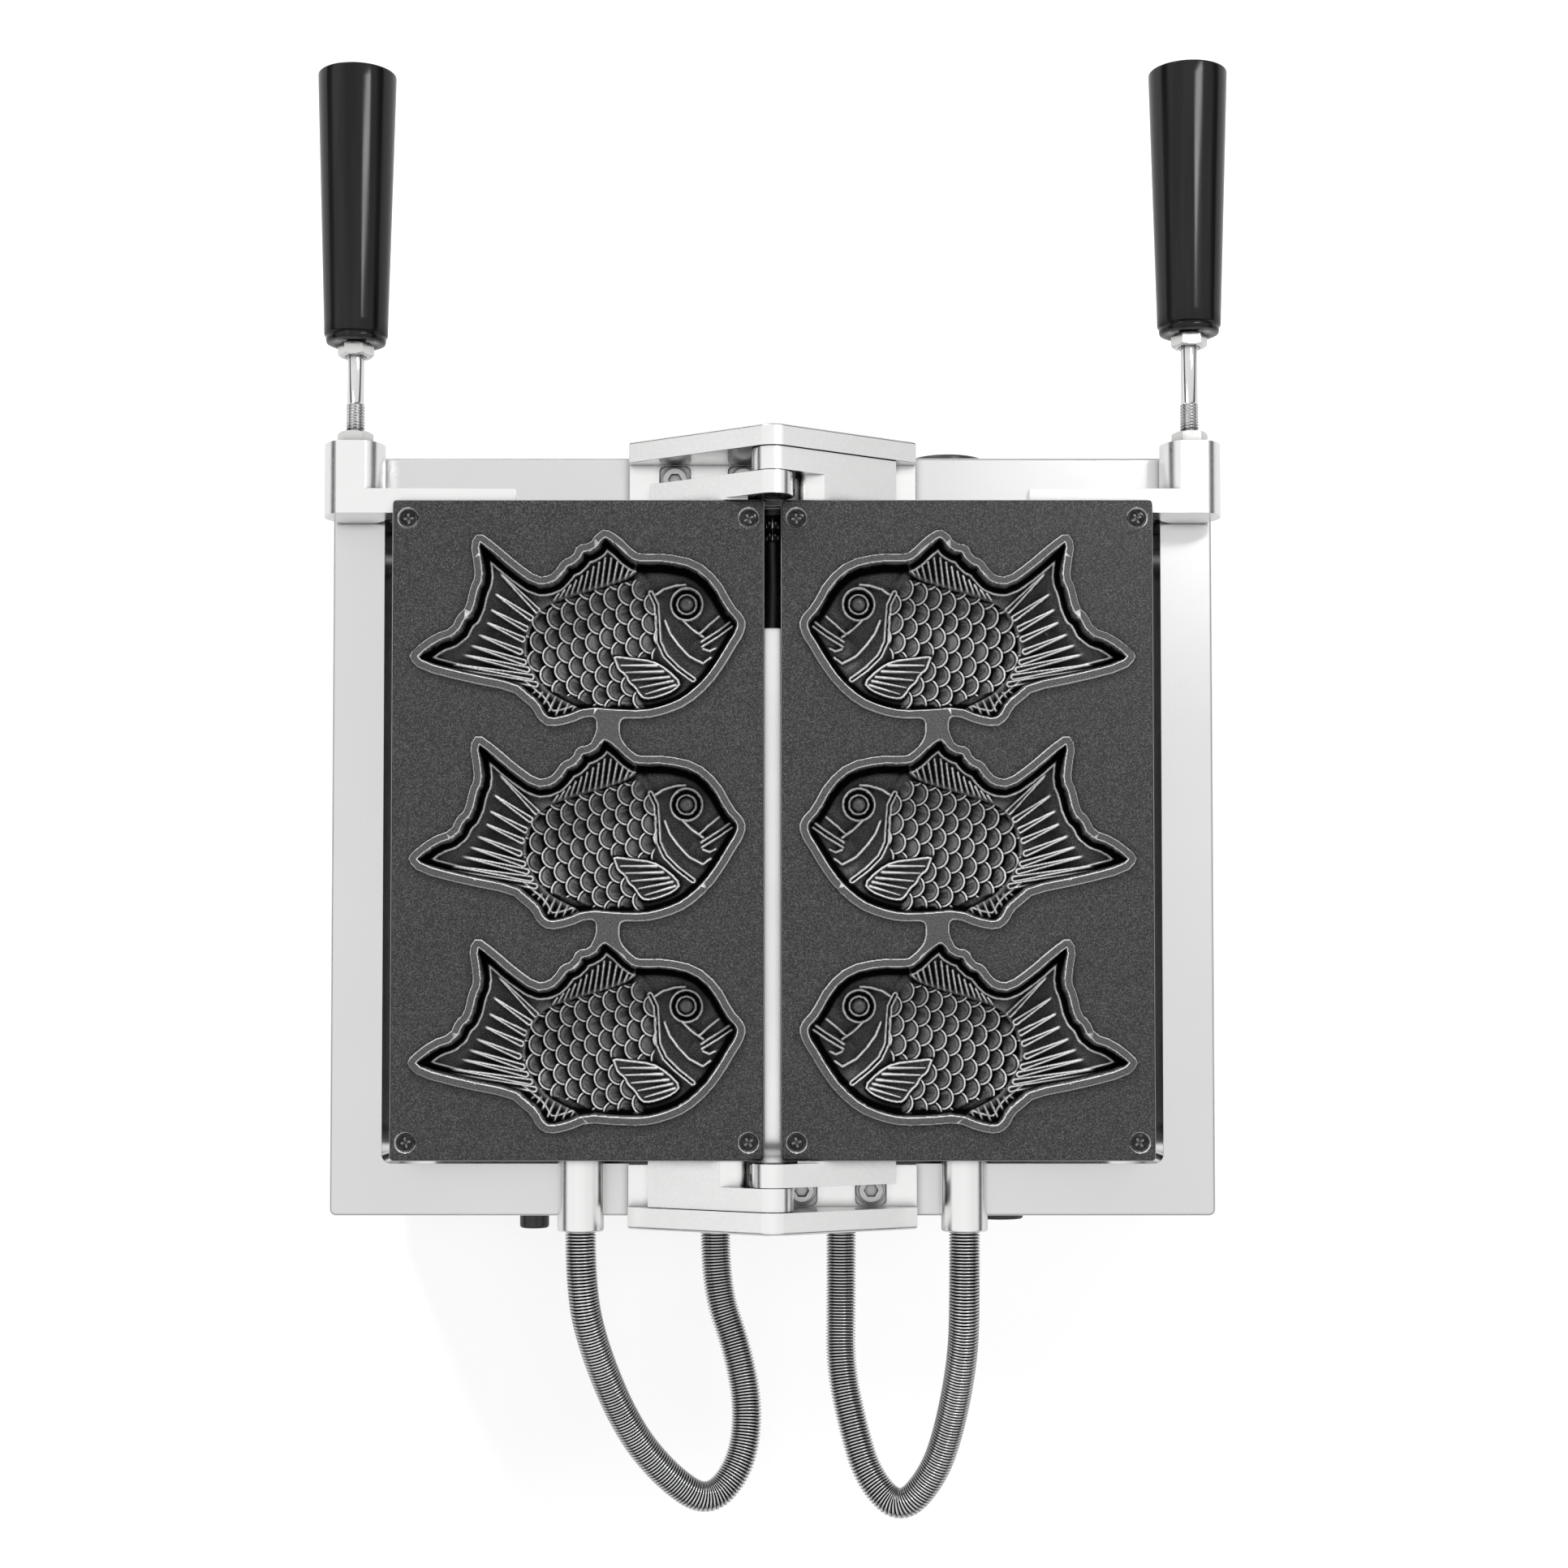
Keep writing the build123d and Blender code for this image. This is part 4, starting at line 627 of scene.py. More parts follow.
def fish_surface(u, v, cavity, land):
    """Height of the plate's top near one fish, and its wear and painted highlight there."""
    height = -LAND_HEIGHT * (1 - step(land, -0.2, 0.15)) - 0.2 * step(cavity, -0.3, 0.0)
    # Painted highlight along the edges of the raised land and of the cavity.
    rim_highlight = np.maximum(ridge(land + 0.02, 0.25, 0.7), ridge(cavity + 0.15, 0.25, 0.8))
    body = np.minimum(inside_distance(u, v, rounded_loop(BODY, 1)), cavity)
    in_body = step(body, 0.0, 0.7)
    shallow = 1 - in_body
    wall = 4.8 * (1 - (1 - np.clip(cavity / 1.7, 0, 1)) ** 1.5) + 1.4 * step(cavity, 0.8, 3.0)
    bowl = 4.6 * (1 - (1 - np.clip(body / 14.0, 0, 1)) ** 2.0) + 1.2 * in_body
    relief = ridge(cavity - 3.5, 0.5, 0.8) * shallow
    # Crests of the relief are paler: wear and painted highlight.
    wear_and_highlight = ridge(cavity - 3.5, 0.3, 0.7) * shallow
    for far, near in TAIL_RAYS:
        distance, share = segment_distance(u, v, far, near)
        half = 0.1 + 0.9 * share
        present = shallow * step(share, 0.0, 0.1)
        relief = np.maximum(relief, (ridge(distance - half, 0.4, 1.1) + ridge(distance, half, 0.4)) * present)
        wear_and_highlight = np.maximum(wear_and_highlight, ridge(distance - half, 0.25, 0.9) * present)
    ribs = [*fin_ribs(DORSAL_BASE, DORSAL_EDGE, 14, 0.06), *fin_ribs(ANAL_BASE, ANAL_EDGE, 7, -0.06)]
    for start, end in ribs:
        distance, share = segment_distance(u, v, start, end)
        relief = np.maximum(relief, ridge(distance, 0.55, 1.3) * shallow)
        wear_and_highlight = np.maximum(wear_and_highlight, ridge(distance, 0.26, 0.35 + 0.5 * share) * shallow)
    scaled = step(inside_distance(u, v, np.array(SCALED)), -0.2, 0.5)
    scale_height, scale_wear_and_highlight = scales(u, v)
    relief = relief + scale_height * scaled
    wear_and_highlight = wear_and_highlight * (1 - scaled) + scale_wear_and_highlight * scaled
    pectoral = inside_distance(u, v, rounded_loop(PECTORAL, 1))
    in_fin = step(pectoral, -0.2, 0.3)
    fin_shape = 0.7 + ridge(pectoral - 0.6, 0.45, 0.8)
    fin_wear_and_highlight = ridge(pectoral - 0.6, 0.3, 0.9)
    for start, end in PECTORAL_RIBS:
        distance, share = segment_distance(u, v, start, end)
        fin_shape = np.maximum(fin_shape, 0.7 + ridge(distance, 0.25 + 0.4 * share, 1.0))
        fin_wear_and_highlight = np.maximum(fin_wear_and_highlight, ridge(distance, 0.2 + 0.25 * share, 0.8))
    relief = relief * (1 - in_fin) + fin_shape * in_fin
    wear_and_highlight = wear_and_highlight * (1 - in_fin) + fin_wear_and_highlight * in_fin
    gill = line_distance(u, v, GILL_OUTER)
    relief += (ridge(gill - 0.8, 0.45, 1.0) + ridge(gill, 0.45, -0.6)) * in_body
    wear_and_highlight = np.maximum(wear_and_highlight, ridge(gill - 0.8, 0.3, 0.8) * in_body)
    inner = line_distance(u, v, GILL_INNER)
    relief += ridge(inner, 0.6, 1.1) * in_body
    wear_and_highlight = np.maximum(wear_and_highlight, ridge(inner, 0.3, 0.8) * in_body)
    for points in HEAD_LINES:
        distance = line_distance(u, v, points)
        relief += ridge(distance, 0.6, 1.0) * in_body
        wear_and_highlight = np.maximum(wear_and_highlight, ridge(distance, 0.3, 0.75) * in_body)
    eye = np.hypot(u - EYE[0], v - EYE[1])
    relief += ridge(eye - 6.5, 0.6, 1.2) - ridge(eye - 5.2, 0.7, 0.7)
    relief += ridge(eye - 3.9, 0.45, 0.6) + 2.0 * np.sqrt(np.clip(1 - (eye / 3.0) ** 2, 0, 1))
    wear_and_highlight = np.maximum(wear_and_highlight, ridge(eye - 6.5, 0.26, 0.7))
    wear_and_highlight = np.maximum(wear_and_highlight, ridge(eye - 3.9, 0.22, 0.6))
    # The pupil is painted dark: the negative value turns into painted shade.
    wear_and_highlight = np.where(eye < 3.2, -0.45, wear_and_highlight)
    shown = step(cavity, 1.2, 2.6)
    sunk = -0.2 - (wall + bowl) + relief * shown
    height = np.where(cavity > 0, np.minimum(sunk, -0.22), height)
    return height, np.where(cavity > 0, wear_and_highlight * shown, rim_highlight)


def plate_surface(u, v):
    """Height of a whole plate's top, with its three fish and the sunk corners of its screws, and its wear and
    painted highlight.
    """
    cavity, land, local = fish_fields(u, v)
    height, wear_and_highlight = fish_surface(u, local, cavity, land)
    for x, y in PLATE_SCREWS:
        near = np.hypot(u - x, v - y)
        height = np.where(near < 5.2, -LAND_HEIGHT - 2.6 * step(4.2 - near, 0.0, 0.35), height)
        # Painted highlight: a pale ring around each screw's pocket.
        wear_and_highlight = np.maximum(wear_and_highlight, ridge(near - 4.1, 0.3, 0.7))
    return height, wear_and_highlight


def blurred(values, reach):
    """Each value averaged with its neighbours, twice over a square of 2 * reach + 1 cells."""
    for _ in range(2):
        for axis in (0, 1):
            margins = [(reach + 1, reach) if k == axis else (0, 0) for k in (0, 1)]
            padded = np.pad(values, margins, mode="edge")
            total = np.cumsum(padded, axis=axis)
            size = values.shape[axis]
            high = np.take(total, np.arange(size) + 2 * reach + 1, axis=axis)
            values = (high - np.take(total, np.arange(size), axis=axis)) / (2 * reach + 1)
    return values


def plate_mesh():
    """Both plates' shape, drawn for the right side with u pointing at the hinge line, and maps of its top's
    wear and painted highlight and of its painted shade.
    """
    half_u, half_v = MOULD_WIDTH / 2, MOULD_LENGTH / 2
    pitch = 0.3
    us = np.linspace(-half_u, half_u, round(MOULD_WIDTH / pitch) + 1)
    vs = np.linspace(-half_v, half_v, round(MOULD_LENGTH / pitch) + 1)
    u, v = np.meshgrid(us, vs, indexing="ij")
    rows, columns = u.shape
    height, wear_and_highlight = plate_surface(u.ravel(), v.ravel())
    z = height.reshape(u.shape)
    bump = z - blurred(z, 4)
    wear_and_highlight = wear_and_highlight.reshape(u.shape)
    # Painted shade in the hollows of the relief and on the pupil, and painted highlight on its crests, from
    # the height against its blurred height.
    painted_shade = np.clip(-bump / 0.42 - 1.6 * np.minimum(wear_and_highlight, 0), 0, 1)
    wear_and_highlight = np.clip(1.2 * wear_and_highlight + np.clip(bump / 0.5, 0, 1) * 0.16, 0, 1) ** 1.25
    edge = np.minimum(half_u - np.abs(u), half_v - np.abs(v))
    rounding = 0.9
    z = z - (rounding - np.sqrt(np.clip(rounding**2 - (rounding - np.clip(edge, 0, rounding)) ** 2, 0, None)))
    corner = 2.0
    du = np.abs(u) - (half_u - corner)
    dv = np.abs(v) - (half_v - corner)
    out = np.hypot(du, dv)
    beyond = (du > 0) & (dv > 0) & (out > corner)
    pull = np.where(beyond, corner / np.where(beyond, out, 1), 1)
    u = np.where(beyond, np.sign(u) * (half_u - corner + du * pull), u)
    v = np.where(beyond, np.sign(v) * (half_v - corner + dv * pull), v)
    z = np.where(beyond, -LAND_HEIGHT - rounding, z)
    points = np.stack([u.ravel(), v.ravel(), z.ravel()], axis=1)
    index = np.arange(rows * columns).reshape(rows, columns)
    quads = np.stack([index[:-1, :-1], index[1:, :-1], index[1:, 1:], index[:-1, 1:]], axis=-1).reshape(-1, 4)
    border = np.concatenate([index[:, 0], index[-1, 1:], index[-2::-1, -1], index[0, -2:0:-1]])
    ring = points[border]
    count = len(border)
    low = -LAND_HEIGHT - SKIRT
    inner_u = np.clip(ring[:, 0], -half_u + SKIRT_WALL, half_u - SKIRT_WALL)
    inner_v = np.clip(ring[:, 1], -half_v + SKIRT_WALL, half_v - SKIRT_WALL)
    loops = [
        np.stack([ring[:, 0], ring[:, 1], np.full(count, low)], axis=1),
        np.stack([inner_u, inner_v, np.full(count, low)], axis=1),
        np.stack([inner_u, inner_v, np.full(count, -LAND_HEIGHT - SLAB)], axis=1),
    ]
    base = len(points)
    points = np.concatenate([points, *loops])
    starts = [border, *(base + k * count + np.arange(count) for k in range(3))]
    sides = [
        np.stack([high, np.roll(high, -1), np.roll(under, -1), under], axis=1)
        for high, under in zip(starts, starts[1:])
    ]
    faces = np.concatenate([quads, *sides]).tolist()
    faces.append(starts[3].tolist()[::-1])
    mesh = bpy.data.meshes.new("plate_fine")
    mesh.from_pydata((points * MM).tolist(), [], faces)
    piece = bpy.data.objects.new("plate_fine", mesh)
    bpy.context.scene.collection.objects.link(piece)
    thin = piece.modifiers.new("thin", "DECIMATE")
    thin.ratio = PLATE_FACES / (2 * len(quads))
    finished = baked(piece)
    bpy.data.objects.remove(piece)
    return finished, wear_and_highlight, painted_shade


def finish_plate(mesh, heights, wear_and_highlight, painted_shade):
    """Parts the level faces from the relief, so that no shading, wear, painted highlight or painted shade
    leaks from it into them.
    """
    corners = np.empty(len(mesh.loops), int)
    mesh.loops.foreach_get("vertex_index", corners)
    edges = np.empty(len(mesh.loops), int)
    mesh.loops.foreach_get("edge_index", edges)
    starts = np.empty(len(mesh.polygons), int)
    mesh.polygons.foreach_get("loop_start", starts)
    counts = np.empty(len(mesh.polygons), int)
    mesh.polygons.foreach_get("loop_total", counts)
    off_level = np.minimum(np.abs(heights), np.abs(heights + LAND_HEIGHT))[corners]
    high = np.maximum.reduceat(heights[corners], starts)
    low = np.minimum.reduceat(heights[corners], starts)
    level = (np.maximum.reduceat(off_level, starts) < 0.01) & (high - low < 0.02)
    sides = np.bincount(edges, weights=np.repeat(level, counts), minlength=len(mesh.edges))
    sharp = np.empty(len(mesh.edges), bool)
    mesh.attributes["sharp_edge"].data.foreach_get("value", sharp)
    mesh.attributes["sharp_edge"].data.foreach_set("value", sharp | (sides == 1))
    raised = level & (high > -0.1)
    near_land = (high < -LAND_HEIGHT + 0.3) & (low > -LAND_HEIGHT - 0.3) & (high - low < 0.3)
    plain = np.repeat((level & ~raised) | near_land, counts)
    raised = np.repeat(raised, counts)
    # The flat raised land gets a faint even paleness, and the flat plate gets none of the wear, painted
    # highlight or painted shade.
    for name, values, on_rim in (("wear_and_highlight", wear_and_highlight, 0.045), ("painted_shade", painted_shade, 0.0)):
        shown = np.where(plain, 0.0, np.where(raised, on_rim, values[corners]))
        mesh.attributes.new(name, "FLOAT", "CORNER").data.foreach_set("value", shown.astype(np.float32))


fine_plate, wear_and_highlight_map, painted_shade_map = plate_mesh()
flat = np.empty(len(fine_plate.vertices) * 3)
fine_plate.vertices.foreach_get("co", flat)
local = flat.reshape(-1, 3) / MM
cell = []
for axis, half in ((0, MOULD_WIDTH / 2), (1, MOULD_END)):
    last = wear_and_highlight_map.shape[axis] - 1
    cell.append(np.clip(np.rint((local[:, axis] + half) / (2 * half) * last).astype(int), 0, last))
edge = np.minimum(MOULD_WIDTH / 2 - np.abs(local[:, 0]), MOULD_END - np.abs(local[:, 1]))
on_top = (local[:, 2] > -LAND_HEIGHT - 14.0) & (edge > 0.9)
# Painted highlight along the plate's rounded outer edge.
brim = (local[:, 2] > -LAND_HEIGHT - 2.0) & (edge < 0.75) & (edge > 0.2)
wear_and_highlight = np.where(on_top, wear_and_highlight_map[tuple(cell)], np.where(brim, 0.7, 0))
painted_shade = np.where(on_top, painted_shade_map[tuple(cell)], 0)
for side_name, side in SIDES.items():
    mesh = fine_plate.copy()
    mesh.name = f"{side_name}_mould"
    placed = np.stack([side * (MOULD_X - local[:, 0]), MID_Y + local[:, 1], LAND_Z + local[:, 2]], axis=1)
    mesh.vertices.foreach_set("co", (placed * MM).ravel())
    if side > 0:
        mesh.flip_normals()
    smooth(mesh, 60.0)
    finish_plate(mesh, local[:, 2], wear_and_highlight, painted_shade)
    body = f"{side_name}_mould"
    add_piece(body, mesh, "nonstick_aluminium", body, f"{side_name}_mould_plate")


# Conduits: ribbed steel tubes along their routes
GLAND_X, GLAND_Y, GLAND_Z = 78.6, 163.3, 150.5
FITTING_Y, FITTING_Z = 167.5, 100.0
ROUTES = {
    "right": (
        (GLAND_X, GLAND_Y, GLAND_Z), (GLAND_X, 188.0, GLAND_Z), (73.0, 214.0, 144.0), (60.5, 246.0, 133.0),
        (45.0, 267.0, 126.0), (27.0, 280.5, 120.5), (13.5, 266.0, 115.0), (10.0, 243.0, 109.0),
        (15.0, 217.5, 103.5), (24.5, 191.5, FITTING_Z), (24.5, FITTING_Y, FITTING_Z),
    ),
    "left": (
        (-GLAND_X, GLAND_Y, GLAND_Z), (-GLAND_X, 188.0, GLAND_Z), (-78.5, 215.0, 144.0),
        (-74.0, 245.0, 133.0), (-67.5, 267.0, 126.0), (-54.0, 283.5, 120.5), (-40.5, 270.5, 115.0),
        (-34.0, 249.0, 109.0), (-29.0, 225.0, 103.5), (-29.5, 197.0, FITTING_Z),
        (-29.5, FITTING_Y, FITTING_Z),
    ),
}
HOSE_SEGMENTS = 28
RIB_PITCH = 1.3
RIB_PROFILE = ((0.0, 5.3), (0.12, 6.0), (0.22, 6.28), (0.4, 6.35), (0.58, 6.28), (0.68, 6.0), (0.8, 5.3))


def spline_path(name, points):
    """Points along the smooth line that a route's points control."""
    curve = bpy.data.curves.new(name, "CURVE")
    curve.dimensions = "3D"
    spline = curve.splines.new("NURBS")
    spline.points.add(len(points) - 1)
    for point, (x, y, z) in zip(spline.points, points):
        point.co = (x * MM, (MID_Y + y) * MM, z * MM, 1)
    spline.order_u = 3
    spline.use_endpoint_u = True
    spline.resolution_u = 24
    holder = bpy.data.objects.new(name, curve)
    bpy.context.scene.collection.objects.link(holder)
    mesh = baked(holder)
    path = [vertex.co.copy() for vertex in mesh.vertices]
    bpy.data.objects.remove(holder)
    return path


def walk(path, distances):
    """Points and directions at these distances along a path."""
    points = np.array([tuple(p) for p in path])
    lengths = np.concatenate([[0], np.cumsum(np.linalg.norm(np.diff(points, axis=0), axis=1))])

    def places(wanted):
        return np.stack([np.interp(wanted, lengths, points[:, axis]) for axis in range(3)], axis=1)

    direction = places(np.minimum(distances + MM, lengths[-1])) - places(np.maximum(distances - MM, 0))
    return places(distances), direction / np.linalg.norm(direction, axis=1)[:, None]


for side_name, side in SIDES.items():
    path = spline_path(f"{side_name}_route", ROUTES[side_name])
    total = sum((b - a).length for a, b in zip(path, path[1:]))
    ribs = round(total / MM / RIB_PITCH)
    distances = []
    radii = []
    for rib in range(ribs):
        for share, radius in RIB_PROFILE:
            distances.append((rib + share) / ribs * total)
            radii.append(radius)
    distances.append(total)
    radii.append(RIB_PROFILE[0][1])
    at, direction = walk(path, np.array(distances))
    points = []
    for centre, run, radius in zip(at, direction, radii):
        run = Vector(run)
        across = Vector((0, 0, 1)).cross(run).normalized()
        up = run.cross(across)
        for k in range(HOSE_SEGMENTS):
            angle = 2 * math.pi * k / HOSE_SEGMENTS
            offset = (across * math.cos(angle) + up * math.sin(angle)) * radius * MM
            points.append((Vector(centre) + offset) / MM)
    mesh = to_mesh(f"{side_name}_hose", points, tube_faces(len(at), HOSE_SEGMENTS))
    smooth(mesh, 60.0)
    # How deep each ring lies in a groove, stored for the painted shade there.
    depth = np.clip((6.2 - np.repeat(radii, HOSE_SEGMENTS)) / 0.6, 0, 1)
    mesh.attributes.new("groove_shade", "FLOAT", "POINT").data.foreach_set("value", depth.astype(np.float32))
    hose = add_piece(f"{side_name}_hose", mesh, "conduit_steel", "base", f"{side_name}_conduit", ride=False)
    start = Vector((ROUTES[side_name][-1][0], 0, FITTING_Z))
    end = Vector((side * GLAND_X, 0, GLAND_Z))
    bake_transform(hose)
    tuple(path[0])
    [tuple(p) for p in path]


# Handles: tapered grips on threaded rods with their nuts
GRIP_STARTS = {"right": 202.6, "left": 206.6}
GRIP_LENGTHS = {"right": 113.0, "left": 110.0}
COLLAR = (
    (1.0, 4.2), (0.2, 8.6), (0.0, 9.2), (0.0, 11.2), (0.35, 12.0), (1.0, 12.3), (2.2, 12.35), (2.7, 12.1),
    (3.0, 12.3), (3.2, 12.75), (3.7, 13.05),
)
COLLAR_LENGTH, COLLAR_RADIUS = COLLAR[-1]
GRIP_WIDENING = 3.1
BOSS_FRONT = 160.2
STUD_RADIUS = 4.0
STUD_SEGMENTS = 32
for side_name, side in SIDES.items():
    body = f"{side_name}_mould"
    start = GRIP_STARTS[side_name]
    length = GRIP_LENGTHS[side_name]
    profile = [*COLLAR]
    taper = length - COLLAR_LENGTH - 1.2
    widest = COLLAR_RADIUS + GRIP_WIDENING
    for k in range(1, 25):
        share = k / 24
        profile.append((COLLAR_LENGTH + share * taper, COLLAR_RADIUS + GRIP_WIDENING * share))
    for k in range(1, 9):
        angle = math.pi / 2 * k / 8
        profile.append((length - 1.2 + 0.9 * math.sin(angle), widest - 0.9 * (1 - math.cos(angle))))
    for k in range(1, 7):
        share = k / 6
        end_y = length - 0.3 + 0.3 * math.sin(share * math.pi / 2)
        profile.append((end_y, (widest - 0.9) * (1 - share) + 0.01))
    centre = (side * HANDLE_X, MID_Y - start, HANDLE_Z)
    grip = lathe(f"{side_name}_grip", [(-y, radius) for y, radius in profile], centre, 96)
    add_piece(f"{side_name}_grip", grip, "handle_bakelite", body, f"{side_name}_handle_grip")
    thread_end = BOSS_FRONT + 17.0
    rows = [*thread_rows(BOSS_FRONT - 20.0, thread_end, STUD_RADIUS, 1.25, 0.6, STUD_SEGMENTS)]
    for y, radius in (
        (thread_end + 0.6, 3.4), (start - 5.6, 3.4), (start - 5.5, STUD_RADIUS), (start + 1.5, STUD_RADIUS),
    ):
        rows.append([(y, radius, 2 * math.pi * k / STUD_SEGMENTS) for k in range(STUD_SEGMENTS)])
    axis = (side * HANDLE_X, MID_Y, HANDLE_Z)
    points = [around(axis, -y, radius, angle) for line in rows for y, radius, angle in line]
    stud = to_mesh(f"{side_name}_stud", points, tube_faces(len(rows), STUD_SEGMENTS))
    smooth(stud, 60.0)
    add_piece(f"{side_name}_stud", stud, "chromed_rod", body, f"{side_name}_handle_stud")
    nuts = join_meshes(
        f"{side_name}_nuts",
        [
            nut("near_nut", (side * HANDLE_X, MID_Y - BOSS_FRONT - NUT_HEIGHT, HANDLE_Z)),
            nut("far_nut", (side * HANDLE_X, MID_Y - start, HANDLE_Z)),
        ],
    )
    smooth(nuts, 25.0)
    add_piece(f"{side_name}_nuts", nuts, "fastener_steel", body, f"{side_name}_handle_nuts")


# Black angle in the well under the hinge line, with two screws: a dark piece put there as painted shade at
# the front of the well
WELL_WALL = -62.7
WELL_FLOOR = 84.8
ANGLE_TOP = 134.0
ANGLE_END = -21.0
ANGLE_HALF = 7.0
outer = [(WELL_WALL, ANGLE_TOP), (WELL_WALL, WELL_FLOOR + 2.2), (WELL_WALL + 0.65, WELL_FLOOR + 0.65)]
outer += [(WELL_WALL + 2.2, WELL_FLOOR), (ANGLE_END, WELL_FLOOR)]
inner = [(ANGLE_END, WELL_FLOOR + 1.5), (WELL_WALL + 2.4, WELL_FLOOR + 1.5)]
inner += [(WELL_WALL + 1.75, WELL_FLOOR + 1.75), (WELL_WALL + 1.5, WELL_FLOOR + 2.4)]
inner += [(WELL_WALL + 1.5, ANGLE_TOP)]
section = outer + inner
count = len(section)
points = [(x, y, z) for x in (-ANGLE_HALF, ANGLE_HALF) for y, z in section]
faces = [(k, (k + 1) % count, (k + 1) % count + count, k + count) for k in range(count)]
faces += [tuple(range(count)), tuple(range(2 * count - 1, count - 1, -1))]
mesh = to_mesh("well_shade_angle", points, faces)
smooth(bevelled(add_piece("well_shade_angle", mesh, "black_steel", BODY_OF["well_tray"]), 0.3, 2, 30.0), 40.0)
dome = [(-0.3, 2.6), (2.6, 2.6), (3.0, 2.35), (3.2, 1.6), (3.25, 0.01)]
angle_screws = join_meshes(
    "well_angle_screws",
    [lathe("screw", dome, (0.0, WELL_WALL + 1.5, height), 48) for height in (91.0, 118.0)],
)
smooth(angle_screws)
add_piece("well_angle_screws", angle_screws, "fastener_steel", BODY_OF["well_tray"])


# Screws of the mould plates: domed heads with a cross recess
RECESS_DEPTH = 1.1
RECESS_HALF = 0.62
RECESS_REACH = 2.35
SCREW_SEGMENTS = 96


def head_height(x, y):
    """Height of a screw's head at this place, measured from its top."""
    arm = min(abs(x), abs(y))
    reach = max(abs(x), abs(y))
    in_arm = min(max((RECESS_HALF - arm) / 0.16, 0.0), 1.0) * min(max((RECESS_REACH - reach) / 0.3, 0.0), 1.0)
    return -0.045 * (x * x + y * y) - RECESS_DEPTH * in_arm * (1 - 0.25 * reach / RECESS_REACH)


def plate_screw(centre, low, turn):
    """One screw along Z with its head's top at the centre and its tip at the height low below it."""
    rings = [(3.35 * k / 14, None) for k in range(15)]
    rings += [(3.55, -0.75), (3.55, -1.0), (3.3, -1.15), (2.0, -1.2), (1.9, -1.4)]
    rings += [(1.9, low + 0.4), (1.5, low)]
    points = []
    for radius, height in rings:
        for k in range(SCREW_SEGMENTS):
            angle = 2 * math.pi * k / SCREW_SEGMENTS
            z = height
            if height is None:
                z = head_height(radius * math.cos(angle), radius * math.sin(angle))
            x, y = radius * math.cos(angle + turn), radius * math.sin(angle + turn)
            points.append((centre[0] + x, centre[1] + y, centre[2] + z))
    faces = tube_faces(len(rings), SCREW_SEGMENTS)
    faces.append(tuple(range(len(points) - SCREW_SEGMENTS, len(points))))
    return to_mesh("screw", points, faces)


for side_name, side in SIDES.items():
    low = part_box(f"{side_name}_plate_screws")[0][2] / MM - SCREW_TOP
    screws = [
        plate_screw((side * MOULD_X + x, MID_Y + y, SCREW_TOP), low, 0.35 + 0.02 * x + 0.013 * y)
        for x, y in PLATE_SCREWS
    ]
    name = f"{side_name}_plate_screw_heads"
    heads = join_meshes(name, screws)
    smooth(heads, 35.0)
    add_piece(name, heads, "black_steel", f"{side_name}_mould", f"{side_name}_plate_screws")
    heads.materials[0] = PLATE_SCREW_BLACK


# Castings and fasteners with rounded edges
softened("bracket_screws", 0.3, material=SCREW_STEEL)
softened("bracket_washers", 0.2, material=SCREW_STEEL)
for end in ("front", "rear"):
    softened(f"{end}_hinge_bracket", 1.0, 3)
    softened(f"{end}_pivot_bolt", 0.4)
for side_name in SIDES:
    for arm in ("front_arm", "rear_arm"):
        softened(f"{side_name}_{arm}", 0.8)
    softened(f"{side_name}_handle_bracket", 1.1, 3)
    softened(f"{side_name}_mould_screws", 0.3)
    softened(f"{side_name}_gland", 0.5)
    softened(f"{side_name}_cover", 0.5)
for node, width in (
    ("pivot_nuts", 0.3), ("conduit_fittings", 0.5), ("feet", 1.0), ("temperature_knob", 0.6),
    ("switch_body", 0.5), ("switch_rocker", 0.5), ("indicator_lamps", 0.5), ("fuse_holder", 0.4),
    ("fuse_cap", 0.4), ("cord_inlet", 0.5), ("base_screws", 0.4), ("front_panel", 0.3),
):
    softened(node, width)


# Studio: pale floor, soft lamps and the camera above the machine
def seen_share(tree, light_path, mirrored_share):
    """1 on camera rays, and a share of it on mirrored rays and rays through glass."""
    rays = light_path.outputs
    indirect = math_node(tree, "MAXIMUM", rays["Is Glossy Ray"], rays["Is Transmission Ray"])
    indirect = math_node(tree, "MULTIPLY", indirect, mirrored_share)
    return math_node(tree, "MAXIMUM", rays["Is Camera Ray"], indirect)


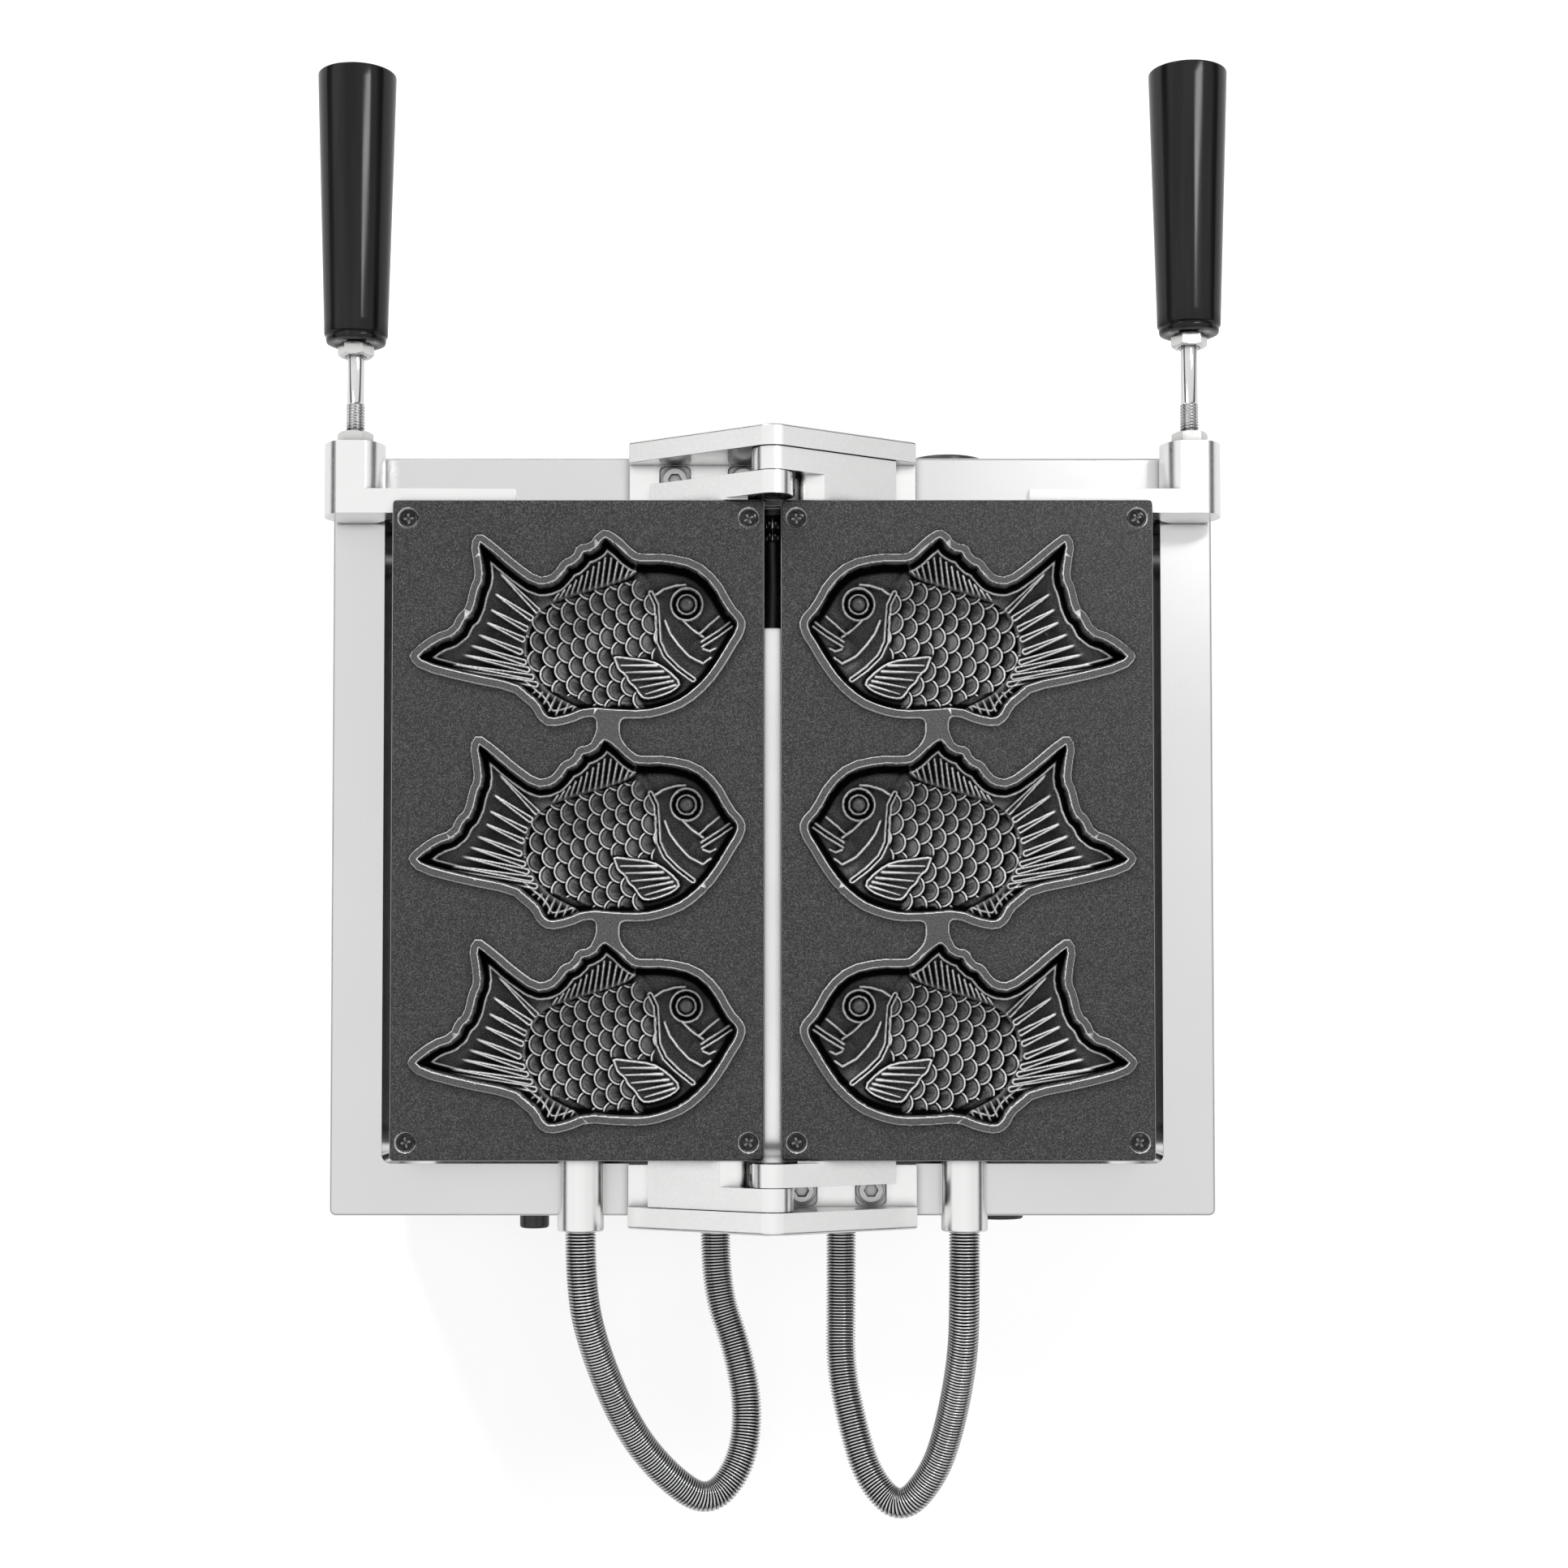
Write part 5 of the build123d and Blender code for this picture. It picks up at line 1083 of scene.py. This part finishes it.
def studio():
    half = 6.0
    mesh = bpy.data.meshes.new("floor")
    corners = [(-half, -half, 0), (half, -half, 0), (half, half, 0), (-half, half, 0)]
    mesh.from_pydata(corners, [], [(0, 1, 2, 3)])
    floor = bpy.data.objects.new("floor", mesh)
    bpy.context.scene.collection.objects.link(floor)
    material = bpy.data.materials.new("floor")
    material.use_nodes = True
    tree = material.node_tree
    nodes, links = tree.nodes, tree.links
    bsdf = nodes["Principled BSDF"]
    bsdf.inputs["Base Color"].default_value = (0.48, 0.48, 0.48, 1)
    bsdf.inputs["Roughness"].default_value = 0.9
    bsdf.inputs["Specular IOR Level"].default_value = 0.1
    light_path = nodes.new("ShaderNodeLightPath")
    place = nodes.new("ShaderNodeTexCoord")
    reach = nodes.new("ShaderNodeVectorMath")
    reach.operation = "LENGTH"
    links.new(place.outputs["Object"], reach.inputs[0])
    spread = nodes.new("ShaderNodeMapRange")
    spread.interpolation_type = "SMOOTHSTEP"
    spread.inputs["From Min"].default_value = 0.3
    spread.inputs["From Max"].default_value = 2.2
    spread.inputs["To Min"].default_value = 0.66
    spread.inputs["To Max"].default_value = 0.9
    links.new(reach.outputs["Value"], spread.inputs["Value"])
    glow = math_node(tree, "MULTIPLY", spread.outputs["Result"], seen_share(tree, light_path, 0.45))
    bsdf.inputs["Emission Color"].default_value = (1, 1, 1, 1)
    links.new(glow, bsdf.inputs["Emission Strength"])
    floor.data.materials.append(material)
    world = bpy.data.worlds.new("studio")
    world.use_nodes = True
    bpy.context.scene.world = world
    tree = world.node_tree
    nodes, links = tree.nodes, tree.links
    light_path = nodes.new("ShaderNodeLightPath")
    coords = nodes.new("ShaderNodeTexCoord")
    parts = nodes.new("ShaderNodeSeparateXYZ")
    links.new(coords.outputs["Generated"], parts.inputs["Vector"])
    sky = nodes.new("ShaderNodeValToRGB")
    stops = ((0.0, 0.06), (0.22, 0.08), (0.4, 0.94), (0.62, 0.93), (0.85, 0.93), (0.95, 0.98))
    while len(sky.color_ramp.elements) < len(stops):
        sky.color_ramp.elements.new(1.0)
    for element, (height, tone) in zip(sky.color_ramp.elements, stops):
        element.position = height
        element.color = (tone, tone, tone, 1)
    links.new(parts.outputs["Z"], sky.inputs["Fac"])
    mirrored = nodes.new("ShaderNodeMix")
    mirrored.inputs["A"].default_value = 0.38
    links.new(seen_share(tree, light_path, 1.0), mirrored.inputs["Factor"])
    lean = math_node(tree, "MULTIPLY_ADD", parts.outputs["X"], 0.07, 1.0)
    links.new(math_node(tree, "MULTIPLY", sky.outputs["Color"], lean), mirrored.inputs["B"])
    strength = nodes.new("ShaderNodeMix")
    strength.inputs["B"].default_value = 1.0
    links.new(light_path.outputs["Is Camera Ray"], strength.inputs["Factor"])
    links.new(mirrored.outputs["Result"], strength.inputs["A"])
    background = nodes["Background"]
    background.inputs["Color"].default_value = (1, 1, 1, 1)
    links.new(strength.outputs["Result"], background.inputs["Strength"])


def lamp(name, place, target, size, energy, mirrored=False):
    data = bpy.data.lights.new(name, "AREA")
    data.shape = "RECTANGLE"
    data.size, data.size_y = size
    data.energy = energy
    holder = bpy.data.objects.new(name, data)
    holder.visible_glossy = mirrored
    bpy.context.scene.collection.objects.link(holder)
    holder.location = place
    holder.rotation_euler = (Vector(target) - Vector(place)).to_track_quat("-Z", "Y").to_euler()


studio()
lamp("key", (0.8, -1.7, 1.0), (0, 0.05, 0.15), (0.5, 0.4), 42)
lamp("gleam", (0.8, -1.65, 0.95), (0, 0.05, 0.15), (0.6, 0.5), 4, True)
lamp("strip", (-0.62, -0.58, 1.2), (0, -0.3, 0.15), (0.15, 0.5), 3.2, True)
lamp("fill", (-1.4, 0.3, 1.6), (0, 0.05, 0.15), (0.5, 1.0), 9)
lamp("back", (-0.4, 1.5, 1.5), (0, 0.05, 0.15), (1.0, 0.4), 9)

CAMERA_PLACE = (0.00083, 0.15126, 1.18539)
CAMERA_TILT = 2.0
data = bpy.data.cameras.new("camera")
data.sensor_width = 36.0
data.lens = 57.802
data.shift_x = 0.0086
data.shift_y = 0.0948
data.clip_start = 0.05
data.clip_end = 20.0
camera = bpy.data.objects.new("camera", data)
bpy.context.scene.collection.objects.link(camera)
camera.location = CAMERA_PLACE
camera.rotation_euler = (math.radians(CAMERA_TILT), 0, math.pi)
bpy.context.scene.camera = camera
bpy.context.scene.view_settings.view_transform = "Standard"
